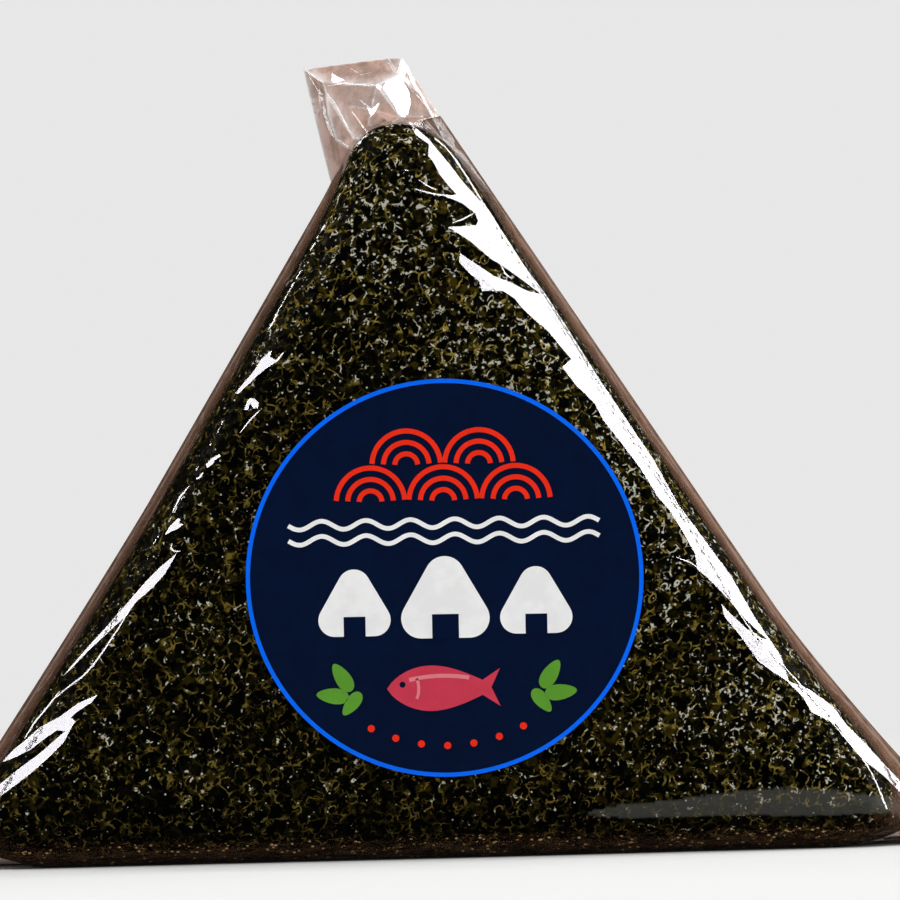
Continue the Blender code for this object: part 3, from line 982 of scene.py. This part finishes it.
def make_seam(back_film, material):
    tree = surface_tree(back_film)
    columns = int(round(SEAM_WIDTH / (2 * SEAM_STEP))) + 1
    rows = int(round((SEAM_TOP_Z - SEAM_FOOT_Z) / SEAM_STEP)) + 1
    vertices, crease = [], []
    for z in np.linspace(SEAM_FOOT_Z, SEAM_TOP_Z, rows):
        rib = 0.5 + 0.5 * math.cos(math.tau * z / SEAM_RIB_PITCH)
        for share in np.linspace(-1.0, 1.0, columns):
            x = SEAM_X + share * SEAM_WIDTH / 2
            hit, _, _, _ = tree.ray_cast(Vector((x, 1.0, z)), Vector((0, -1, 0)))
            sealed = abs(share) < SEAM_SEALED
            vertices.append((x, hit.y + SEAM_LIFT + SEAM_RIB_HEIGHT * rib * sealed, z))
            rim = math.exp(-((abs(share) - 1.0) / SEAM_RIM_WIDTH) ** 2)
            crease.append(max(SEAM_RIM_CREASE * rim, SEAM_RIB_CREASE * rib * sealed))
    faces = []
    for i in range(rows - 1):
        for j in range(columns - 1):
            a = i * columns + j
            faces += [(a, a + columns, a + columns + 1), (a, a + columns + 1, a + 1)]
    piece = new_piece("film_back_seam", np.array(vertices), np.array(faces), material)
    add_fields(piece, haze=SEAM_HAZE, tint=1.0, crease=crease)
    return piece


# The folded tab: corners of its facets as (x, z, depth in front of mid depth) in millimetres
TAB_CORNERS = {
    "top_left": (-10.84, 78.90, 0.0),
    "top_middle": (-2.31, 79.78, 0.0),
    "top_right": (-0.91, 79.75, 0.0),
    "right_upper": (1.90, 75.10, 0.0),
    "right_lower": (4.45, 70.81, 0.0),
    "right_foot": (7.90, 65.60, 0.0),
    "left_middle": (-9.70, 73.50, 0.0),
    "left_foot": (-8.34, 67.34, 0.0),
    "frame_left_top": (-8.87, 77.56, 1.6),
    "frame_left": (-8.51, 76.25, 2.0),
    "frame_left_middle": (-8.36, 74.24, 2.2),
    "frame_left_low": (-7.63, 71.62, 2.6),
    "frame_top_left": (-7.30, 77.30, 1.9),
    "frame_top": (-3.49, 77.00, 2.6),
    "frame_top_right": (-1.36, 77.96, 1.4),
    "bevel_upper": (-0.29, 76.63, 1.28),
    "bevel_middle": (-0.13, 75.10, 1.64),
    "bevel_low": (-1.07, 73.65, 2.5),
    "bevel_right": (0.93, 73.80, 1.54),
    "bevel_right_low": (2.38, 71.97, 1.42),
    "bevel_foot": (3.36, 70.84, 1.30),
    "curve_top": (0.89, 76.00, 0.7),
    "panel_star": (-4.05, 74.63, 3.3),
    "panel_left": (-6.30, 75.00, 2.7),
    "second_crease_end": (-5.92, 71.78, 4.4),
    "shoulder_left": (-6.45, 70.79, 4.3),
    "nori_left": (-5.50, 69.60, 5.4),
    "nori_top_left": (-4.60, 72.40, 5.4),
    "nori_top": (-2.50, 73.35, 5.4),
    "nori_top_right": (-0.60, 72.50, 5.4),
    "nori_right": (1.60, 71.00, 5.4),
    "nori_right_low": (3.60, 68.60, 5.4),
}
TAB_OUTLINE = (
    "left_foot", "nori_left", "nori_right_low", "right_foot", "right_lower", "right_upper", "top_right",
    "top_middle", "top_left", "left_middle",
)
TAB_CREASES = (
    ("top_left", "frame_left_top", 1.0),
    ("frame_left_top", "frame_left", 0.7),
    ("frame_left", "frame_left_middle", 0.9),
    ("frame_left_middle", "frame_left_low", 0.7),
    ("frame_left_low", "shoulder_left", 0.5),
    ("frame_left", "second_crease_end", 0.8),
    ("frame_left_top", "frame_top_left", 0.5),
    ("frame_top_left", "frame_top", 0.9),
    ("frame_top", "frame_top_right", 1.0),
    ("frame_top_right", "top_right", 1.0),
    ("frame_top_right", "top_middle", 0.6),
    ("frame_top", "bevel_low", 1.0),
    ("bevel_low", "nori_right", 0.9),
    ("frame_top", "panel_star", 0.5),
    ("panel_star", "nori_top_left", 0.5),
    ("panel_star", "panel_left", 0.4),
    ("frame_top_right", "curve_top", 0.5),
    ("curve_top", "bevel_foot", 0.7),
    ("bevel_low", "bevel_right", 0.5),
    ("bevel_foot", "right_foot", 0.6),
    ("top_left", "top_middle", 0.8),
    ("top_middle", "top_right", 0.9),
    ("top_left", "left_middle", 0.8),
    ("left_middle", "left_foot", 0.7),
    ("top_right", "right_foot", 0.6),
)
TAB_CREASE_WIDTH = 0.12
TAB_GLOW = 0.42  # a soft sheen on one side of each crease
TAB_GLOW_WIDTH = 0.9
TAB_CREASE_STRENGTH = 0.45
TAB_BACK_SHARE = 0.5  # what the creases keep of their strength at the back
TAB_RIM_STEP = 0.25 * MM
TAB_STEP = 0.17 * MM
TAB_RIM_GAP = 0.08 * MM
TAB_RIPPLE_SIZE = 1.3 * MM
TAB_RIPPLE = 0.10 * MM
TAB_RIPPLE_FROM = 0.2 * MM
TAB_BETWEEN = 2.0  # depth where two folds cross, in millimetres
TAB_HAZE = {True: 0.70, False: 0.60}  # by front
TAB_OVER_NORI = (4.9 * MM, 5.35 * MM)
TAB_NORI_SHARE = 0.7  # what the creases lose over the nori
# Bright facets and creases of the tab, as pixels of the photograph
TAB_GLOSS = (
    ((332, 73), (345, 80), (333, 83), (331, 80)),
    ((386, 82), (398, 75), (404, 82), (409, 91), (411, 103), (408, 114), (404, 118), (399, 115), (391, 100),
     (385, 91), (382, 88)),
    ((409, 124), (422, 119), (425, 123), (433, 138), (438, 146), (428, 140), (418, 132)),
    ((367, 107), (372, 109), (377, 104), (380, 103), (374, 114), (371, 117), (369, 112)),
    ((376, 84), (382, 86), (380, 90), (376, 88)),
)
TAB_SOFT_PATCHES = (
    ((319, 88), (322, 93), (324, 104), (328, 118), (333, 134), (336, 138), (332, 136), (327, 126), (321, 108),
     (318, 96)),
)
TAB_SOFT_LINES = (
    ((328, 86), (345, 83), (360, 85), (377, 85), 1.3),
    ((325, 91), (335, 103), (345, 122), (353, 138), 1.5),
    ((383, 90), (393, 103), (402, 117), (408, 126), 1.3),
    ((408, 86), (420, 98), (432, 113), 1.2),
    ((386, 60), (391, 67), (396, 75), 1.1),
    ((396, 75), (399, 67), (401, 60), 1.3),
    ((305, 70), (314, 76), (323, 83), 1.7),
    ((360, 100), (365, 104), (371, 108), 1.0),
    ((336, 138), (343, 143), (349, 147), 1.2),
    ((321, 96), (314, 84), (309, 76), 1.0),
    ((350, 68), (362, 75), (371, 72), 0.9),
)
TAB_SOFT_HAZE = 0.15
TAB_GLOSS_LEAN = 22.0
TAB_GLOSS_TOWARDS = (0.15, 1.0)
TAB_GLOSS_STEP = 0.25 * MM
TAB_GLOSS_DEPTH = -2.0 * MM


def inside_outline(points, outline):
    inside = np.zeros(len(points), dtype=bool)
    for a, b in zip(outline, outline[1:] + outline[:1]):
        crosses = (a[1] > points[:, 1]) != (b[1] > points[:, 1])
        level = (points[:, 1] - a[1]) / (b[1] - a[1] + 1e-12)
        inside ^= crosses & (points[:, 0] < a[0] + level * (b[0] - a[0]))
    return inside


def tab_corner(name):
    x, z, _ = TAB_CORNERS[name]
    return np.array((x, z)) * MM


def tab_depth(points):
    """Depth of the facets at each point, from the triangles between their corners."""
    corners = [Vector((x, z)) for x, z, _ in TAB_CORNERS.values()]
    names = list(TAB_CORNERS)
    folds = [(names.index(a), names.index(b)) for a, b, _ in TAB_CREASES]
    flat, _, triangles, origins, _, _ = delaunay_2d_cdt(corners, folds, [], 0, 1e-7)
    heights = [TAB_CORNERS[names[source[0]]][2] if source else TAB_BETWEEN for source in origins]
    depth = np.zeros(len(points))
    for triangle in triangles:
        a, b, c = (np.array(flat[k]) * MM for k in triangle)
        system = np.array((b - a, c - a)).T
        shares = np.linalg.solve(system, (points - a).T)
        inside = (shares[0] >= -1e-6) & (shares[1] >= -1e-6) & (shares.sum(axis=0) <= 1 + 1e-6)
        ha, hb, hc = (heights[k] for k in triangle)
        value = ha + shares[0] * (hb - ha) + shares[1] * (hc - ha)
        depth[inside] = value[inside] * MM
    return depth


def make_tab(name, front, material):
    outline = [tab_corner(n) for n in TAB_OUTLINE]
    sides = list(zip(outline, outline[1:] + outline[:1]))
    boundary = []
    for a, b in sides:
        steps = max(2, int(np.linalg.norm(b - a) / TAB_RIM_STEP))
        boundary += [a + (b - a) * i / steps for i in range(steps)]

    def within(points):
        gap = np.min([np.abs(segment_distance(points, a, b)) for a, b in sides], axis=0)
        return inside_outline(points, outline) & (gap > TAB_RIM_GAP)

    flat, faces = triangulated(np.array(boundary), lattice(TAB_STEP, within))
    depth = tab_depth(flat)
    crease = np.zeros(len(flat))
    # Painted sheen: a soft white glow on one side of each crease, in the same field as the creases' whitening
    for a, b, strength in TAB_CREASES:
        gap = segment_distance(flat, tab_corner(a), tab_corner(b))
        line = strength * np.exp(-(gap / (TAB_CREASE_WIDTH * MM)) ** 2)
        glow = TAB_GLOW * strength * np.exp(-(gap / (TAB_GLOW_WIDTH * MM)) ** 2) * (gap > 0)
        crease = np.maximum(crease, np.maximum(line, glow))
    crease *= TAB_CREASE_STRENGTH
    seed = 2.0 if front else 6.0
    ripple = np.array([noise.noise(Vector((a, b, seed))) for a, b in flat / TAB_RIPPLE_SIZE])
    depth += np.where(depth > TAB_RIPPLE_FROM, TAB_RIPPLE * ripple, 0.0)
    sign = -1.0 if front else 1.0
    vertices = np.column_stack((flat[:, 0] - CENTRING, sign * depth, flat[:, 1]))
    if not front:
        faces = faces[:, ::-1]
        crease *= TAB_BACK_SHARE
    over_nori = smoothstep(*TAB_OVER_NORI, depth)
    piece = new_piece(name, vertices, faces, material)
    add_fields(piece, haze=TAB_HAZE[front] * (1.0 - over_nori), tint=1.0,
               crease=crease * (1.0 - TAB_NORI_SHARE * over_nori))
    return piece


# The label's print: flat shapes in millimetres from the label's centre, right and up

def face_y(x, z):
    """The front of the label at one place."""
    return -float(half_thickness(np.array([(x, z)]), FRONT_SEED)[0]) - LABEL_FACE


def on_label(outline, lift):
    """Points of a flat shape, laid on the label."""
    cos, sin = math.cos(LABEL_TILT), math.sin(LABEL_TILT)
    placed = []
    for u, v in outline:
        x = LABEL_CENTRE[0] + (cos * u - sin * v) * MM
        z = LABEL_CENTRE[1] + (sin * u + cos * v) * MM
        placed.append((x - CENTRING, face_y(x, z) - lift * MM, z))
    return placed


def printed(name, outlines, lift, material):
    """One piece of several flat shapes, each cut into small triangles so that it follows the label."""
    vertices, faces = [], []
    for outline in outlines:
        flat, triangles = filled(outline)
        offset = len(vertices)
        vertices += on_label(flat, lift)
        faces += [tuple(offset + k for k in triangle) for triangle in triangles]
    return new_piece(name, np.array(vertices), np.array(faces), material)


def filled(outline, step=1.0):
    """Triangles over a closed outline in millimetres, with inner points a step apart."""
    corners = np.array(outline, dtype=float)
    outline = []
    for a, b in zip(corners, np.roll(corners, -1, axis=0)):
        count = max(1, round(float(np.linalg.norm(b - a)) / step))
        outline += [a + (b - a) * i / count for i in range(count)]
    outline = np.array(outline)
    low, high = outline.min(axis=0) + (step / 2, step / 2), outline.max(axis=0)
    across, up = np.meshgrid(np.arange(low[0], high[0], step), np.arange(low[1], high[1], step))
    inner = np.column_stack((across.ravel(), up.ravel()))
    inner = inner[inside_outline(inner, list(outline))]
    points = [Vector(p) for p in outline.tolist() + inner.tolist()]
    verts, _, faces, _, _, _ = delaunay_2d_cdt(points, [], [list(range(len(outline)))], 1, 1e-5)
    return [tuple(v) for v in verts], faces


def disc(u, v, radius, steps):
    turns = [math.tau * i / steps for i in range(steps)]
    return [(u + radius * math.cos(t), v + radius * math.sin(t)) for t in turns]


def bar(u0, u1, v, thick):
    """A straight bar."""
    return stroke([(u, v) for u in np.linspace(u0, u1, max(3, int(u1 - u0)))], thick)


def stroke(path, thick):
    """A line of even thickness along a path."""
    path = np.array(path, dtype=float)
    ahead = np.gradient(path, axis=0)
    ahead /= np.linalg.norm(ahead, axis=1, keepdims=True)
    square = np.column_stack((-ahead[:, 1], ahead[:, 0])) * thick / 2
    return (path - square).tolist() + (path + square)[::-1].tolist()


def make_ring(material):
    vertices, faces = [], []
    for i in range(RING_STEPS):
        angle = math.tau * i / RING_STEPS
        ends = [(r * math.cos(angle), r * math.sin(angle)) for r in RING_RADII]
        vertices += on_label(ends, PRINT_LIFT)
        j = (i + 1) % RING_STEPS
        faces += [(2 * i, 2 * i + 1, 2 * j + 1), (2 * i, 2 * j + 1, 2 * j)]
    return new_piece("label_ring", np.array(vertices), np.array(faces)[:, ::-1], material)


def wave_fan(u, v, radius, thick, count):
    """Arcs over one point, as in the old wave pattern."""
    shapes = []
    for k in range(count):
        r = radius - k * radius / count
        arc = [(u + r * math.cos(t), v + r * math.sin(t)) for t in np.linspace(0.06, math.pi - 0.06, 24)]
        shapes.append(stroke(arc, thick))
    return shapes


def rice_ball(u, v, size):
    """A plain rounded triangle."""
    corner = 0.30 * size
    shape = []
    for angle in (90, 210, 330):
        centre_u = u + 0.42 * size * math.cos(math.radians(angle))
        centre_v = v + 0.42 * size * math.sin(math.radians(angle))
        for i in range(-6, 7):
            t = math.radians(angle + 10 * i)
            shape.append((centre_u + corner * math.cos(t), centre_v + corner * math.sin(t)))
    return shape


def leaf(u, v, length, angle):
    shape = []
    for t in np.linspace(0, math.tau, 28, endpoint=False):
        a = length / 2 * math.cos(t)
        b = length * 0.24 * math.sin(t) * (1 - 0.25 * math.cos(t))
        cos, sin = math.cos(angle), math.sin(angle)
        shape.append((u + cos * a - sin * b, v + sin * a + cos * b))
    return shape


def fish_body(u, v, length, height):
    """A simple fish seen from the side, nose to the left."""
    upper = []
    for s in np.linspace(0, 0.86, 22):
        upper.append((u - length / 2 + length * s, v + height / 2 * math.sin(math.pi * s ** 0.75)))
    lower = [(a, 2 * v - b) for a, b in upper[::-1][:-1]]
    tail = [(u + length * a, v + height * b) for a, b in ((0.52, 0.42), (0.44, 0.0), (0.52, -0.42))]
    return upper + tail + lower


# Inside the ring, the print's rows from the top down: wave fans, two ripples, rice balls, a fish between
# leaves, and an arc of dots
RING_STEPS = 160
RING_RADII = (19.28, 19.70)
FANS = ((-7.2, 7.6), (0.0, 7.6), (7.2, 7.6), (-3.6, 11.2), (3.6, 11.2))
FAN_RADIUS = 3.4
FAN_THICKNESS = 0.5
FAN_ARCS = 3
RIPPLE_ROWS = (5.4, 3.9)
RIPPLE_REACH = 15.4
RIPPLE_HEIGHT = 0.42
RIPPLE_PITCH = 4.4
RIPPLE_THICKNESS = 0.45
RICE_BALLS = ((-9.0, -2.9, 5.4), (0.0, -2.6, 6.6), (9.0, -2.9, 5.4))
FISH_CENTRE = (-0.4, -10.9)
FISH_SIZE = (11.0, 4.5)
LEAVES = (
    (10.3, -9.7, 3.2, 1.0), (11.3, -11.5, 3.2, 0.1), (9.4, -12.3, 2.8, -0.9),
    (-10.3, -9.7, 3.2, 2.14), (-11.3, -11.5, 3.2, 3.04), (-9.4, -12.3, 2.8, 4.04),
)
DOT_ARC_RADIUS = 16.6
DOT_RADIUS = 0.36
DOT_ANGLES = range(-117, -62, 9)
PRINT_LIFT = 0.03
OVERPRINT_LIFT = 0.05
LABEL_NAVY = (0.0002, 0.0062, 0.034, 1)
INKS = {
    "white": (0.92, 0.92, 0.92, 1),
    "red": (0.90, 0.028, 0.008, 1),
    "rose": (0.62, 0.045, 0.085, 1),
    "pink": (0.80, 0.22, 0.26, 1),
    "green": (0.11, 0.33, 0.03, 1),
    "blue": (0.0, 0.145, 1.0, 1),
    "navy": LABEL_NAVY,
}


def make_print():
    inks = {name: print_material("ink_" + name, colour) for name, colour in INKS.items()}
    pieces = [make_ring(inks["blue"])]

    fans = [shape for u, v in FANS for shape in wave_fan(u, v, FAN_RADIUS, FAN_THICKNESS, FAN_ARCS)]
    pieces.append(printed("label_waves", fans, PRINT_LIFT, inks["red"]))

    across = np.linspace(-RIPPLE_REACH, RIPPLE_REACH, 120)
    swell = RIPPLE_HEIGHT * np.sin(across * math.tau / RIPPLE_PITCH)
    ripples = [stroke(np.column_stack((across, row + swell)), RIPPLE_THICKNESS) for row in RIPPLE_ROWS]
    pieces.append(printed("label_ripples", ripples, PRINT_LIFT, inks["white"]))

    balls = [rice_ball(u, v, size) for u, v, size in RICE_BALLS]
    pieces.append(printed("label_rice_balls", balls, PRINT_LIFT, inks["white"]))

    u, v = FISH_CENTRE
    length, height = FISH_SIZE
    pieces.append(printed("label_fish", [fish_body(u, v, length, height)], PRINT_LIFT, inks["rose"]))
    back = [(u + length * s, v + height * (0.27 - 0.9 * s * s)) for s in np.linspace(-0.30, 0.24, 20)]
    turns = np.linspace(-1.2, 1.2, 12)
    gill = [(u - length * (0.25 - 0.035 * math.cos(t)), v + height * 0.24 * math.sin(t)) for t in turns]
    lines = [stroke(back, 0.4), stroke(gill, 0.3)]
    pieces.append(printed("label_fish_lines", lines, OVERPRINT_LIFT, inks["pink"]))

    dark = [bar(a - 0.2 * size, a + 0.2 * size, b - 0.33 * size, 0.36 * size) for a, b, size in RICE_BALLS]
    dark.append(disc(u - length * 0.36, v + height * 0.09, 0.3, 14))
    pieces.append(printed("label_dark_marks", dark, OVERPRINT_LIFT, inks["navy"]))

    leaves = [leaf(*place) for place in LEAVES]
    pieces.append(printed("label_leaves", leaves, PRINT_LIFT, inks["green"]))
    turns = [math.radians(angle) for angle in DOT_ANGLES]
    dots = [disc(DOT_ARC_RADIUS * math.cos(t), DOT_ARC_RADIUS * math.sin(t), DOT_RADIUS, 16) for t in turns]
    pieces.append(printed("label_dots", dots, PRINT_LIFT, inks["red"]))
    return pieces


def dress_label():
    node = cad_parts["label"]
    node.data.materials.clear()
    node.data.materials.append(print_material("label_navy", LABEL_NAVY, 0.5, 0.85))


# Stage

FLOOR_SIZE = 4.0
FLOOR_FADE = (0.12, 0.42)  # where the floor goes over into the surround, from the middle
FLOOR_GREY = (0.72, 0.72, 0.71, 1)
SURROUND = (0.80, 0.30, 0.004)  # for the eye, for the light it gives, and in reflections
KEY_DISTANCE = 1.7
FILL_DISTANCE = 1.8
LIGHT_TARGET = Vector((0.0, 0.0, 38 * MM))


def make_floor():
    bpy.ops.mesh.primitive_plane_add(size=FLOOR_SIZE)
    floor = bpy.context.object
    floor.name = "floor"
    s = Shader("floor")
    coordinates = s.add("ShaderNodeTexCoord").outputs["Object"]
    length = s.add("ShaderNodeVectorMath", operation="LENGTH")
    s.put(length.inputs[0], coordinates)
    pale = s.principled(FLOOR_GREY, 0.9)
    clear = s.add("ShaderNodeBsdfTransparent")
    fade = s.range(length.outputs["Value"], *FLOOR_FADE)
    floor.data.materials.append(s.finish(s.blend(fade, pale, clear)))
    floor.visible_glossy = False


def make_world(seen, felt, mirrored):
    """A pale surround for the eye, a dimmer one for the light it gives, and a dark one for reflections."""
    world = bpy.data.worlds.new("studio")
    bpy.context.scene.world = world
    world.use_nodes = True
    nodes, links = world.node_tree.nodes, world.node_tree.links
    nodes.clear()
    path = nodes.new("ShaderNodeLightPath")
    shades = []
    for level in (seen, felt, mirrored):
        shade = nodes.new("ShaderNodeBackground")
        shade.inputs["Color"].default_value = (level, level, level, 1)
        shades.append(shade.outputs[0])
    glossy, eye = nodes.new("ShaderNodeMixShader"), nodes.new("ShaderNodeMixShader")
    output = nodes.new("ShaderNodeOutputWorld")
    links.new(path.outputs["Is Glossy Ray"], glossy.inputs[0])
    links.new(shades[1], glossy.inputs[1])
    links.new(shades[2], glossy.inputs[2])
    links.new(path.outputs["Is Camera Ray"], eye.inputs[0])
    links.new(glossy.outputs[0], eye.inputs[1])
    links.new(shades[0], eye.inputs[2])
    links.new(eye.outputs[0], output.inputs["Surface"])


def softbox(name, direction, distance, size, radiance, along=(0.0, 0.0, 1.0)):
    """A rectangular light that faces the object, its second size running along the given direction."""
    lamp = bpy.data.lights.new(name, "AREA")
    lamp.shape = "RECTANGLE"
    lamp.size, lamp.size_y = size
    lamp.energy = radiance * math.pi * size[0] * size[1]
    made = bpy.data.objects.new(name, lamp)
    bpy.context.scene.collection.objects.link(made)
    away = Vector(direction).normalized()
    up = (Vector(along) - away * away.dot(Vector(along))).normalized()
    right = up.cross(away)
    turned = Matrix((right, up, away)).transposed().to_4x4()
    made.matrix_world = Matrix.Translation(LIGHT_TARGET + away * distance) @ turned
    made.visible_camera = False
    return made


def make_lights():
    right_edge = (-RIGHT_SIDE["lean"], 0.0, 1.0)
    key_right = half_way(NORMALS["right"], 2 * RIGHT_GLOSS_LEAN)
    key_left = half_way(LEFT_GLOSS_TOWARDS, 2 * LEFT_GLOSS_LEAN)
    softbox("key_right", key_right, KEY_DISTANCE, (0.75, 1.2), 7.6, along=right_edge)
    softbox("key_left", key_left, KEY_DISTANCE, (0.60, 0.60), 7.5)
    key_tab = half_way(TAB_GLOSS_TOWARDS, 2 * TAB_GLOSS_LEAN)
    tab_light = softbox("key_tab", key_tab, KEY_DISTANCE, (0.28, 0.28), 13.0)
    tab_light.visible_diffuse = False
    fills = [softbox("front", (0.1, -0.55, 0.84), FILL_DISTANCE, (1.2, 0.8), 4.5, along=(0, 1, 0))]
    for side in (-1, 1):
        fills.append(softbox("back", (0.8 * side, 0.7, 0.5), FILL_DISTANCE, (0.5, 0.9), 3.0))
        fills.append(softbox("side", (side, -0.45, 0.35), FILL_DISTANCE, (0.6, 0.9), 2.2))
    for light in fills:
        light.visible_glossy = False


def make_camera():
    data = bpy.data.cameras.new("camera")
    data.sensor_width = SENSOR
    data.lens = SENSOR * CAMERA_DISTANCE / VIEW_WIDTH
    data.clip_start, data.clip_end = 0.05, 20.0
    camera = bpy.data.objects.new("camera", data)
    bpy.context.scene.collection.objects.link(camera)
    back = Vector((0.0, -math.cos(CAMERA_ELEVATION), math.sin(CAMERA_ELEVATION)))
    camera.location = VIEW_CENTRE + back * CAMERA_DISTANCE
    roll = Quaternion(Vector((0, 0, 1)), -CAMERA_ROLL)
    camera.rotation_mode = "QUATERNION"
    camera.rotation_quaternion = back.to_track_quat("Z", "Y") @ roll
    bpy.context.scene.camera = camera


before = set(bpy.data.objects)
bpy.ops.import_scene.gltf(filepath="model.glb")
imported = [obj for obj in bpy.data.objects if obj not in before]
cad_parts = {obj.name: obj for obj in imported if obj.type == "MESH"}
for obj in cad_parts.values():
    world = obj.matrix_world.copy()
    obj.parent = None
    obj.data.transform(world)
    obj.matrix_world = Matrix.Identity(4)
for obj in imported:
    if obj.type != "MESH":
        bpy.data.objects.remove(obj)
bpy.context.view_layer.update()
bpy.context.scene.view_settings.view_transform = "Standard"
make_camera()
make_floor()
make_world(*SURROUND)
make_lights()

nori = nori_material()
film = film_material("film", FILM_REFLECTED_TAN, 2.4)
tab_film = film_material("tab_film", TAB_REFLECTED_TAN, 2.2)
pale_film = film_material("pale_film", PALE_REFLECTED_TAN, 0.7)
creased_film = film_material("creased_film", FILM_REFLECTED_TAN, 2.4, 0.10, GLOSS_WHITE)
front_nori = make_nori("nori_front", True, NORI_STEP_FRONT, nori)
back_nori = make_nori("nori_back", False, NORI_STEP_BACK, nori)
front_film = make_film("film_front", True, film)
back_film = make_film("film_back", False, film)
front_tab = make_tab("film_tab_front", True, tab_film)
back_tab = make_tab("film_tab_back", False, tab_film)
tab_patches = {"depth": TAB_GLOSS_DEPTH, "step": TAB_GLOSS_STEP}
pieces = [
    front_nori, back_nori, front_film, back_film, front_tab, back_tab,
    gloss_patches("film_gloss_right", [RIGHT_PATCH], RIGHT_LINES, RIGHT_GLOSS_LEAN, NORMALS["right"],
                  front_film, creased_film),
    gloss_patches("film_gloss_left", LEFT_PATCHES, LEFT_LINES, LEFT_GLOSS_LEAN, LEFT_GLOSS_TOWARDS,
                  front_film, creased_film),
    gloss_patches("film_gloss_tab", TAB_GLOSS, [], TAB_GLOSS_LEAN, TAB_GLOSS_TOWARDS,
                  front_tab, creased_film, **tab_patches),
    gloss_patches("film_creases_tab", TAB_SOFT_PATCHES, TAB_SOFT_LINES, TAB_GLOSS_LEAN, TAB_GLOSS_TOWARDS,
                  front_tab, pale_film, haze=TAB_SOFT_HAZE, milky=TAB_SOFT_HAZE, **tab_patches),
    gloss_patches("film_corner_folds", EAR_FOLDS, [], 0.0, (1.0, 0.0), front_film, pale_film,
                  haze=EAR_HAZE, milky=0.0, depth=EAR_DEPTH),
    make_seam(back_film, film),
]
for piece in pieces:
    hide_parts("wrapped_onigiri")
    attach(piece, "root")
dress_label()
for piece in make_print():
    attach(piece, "root")
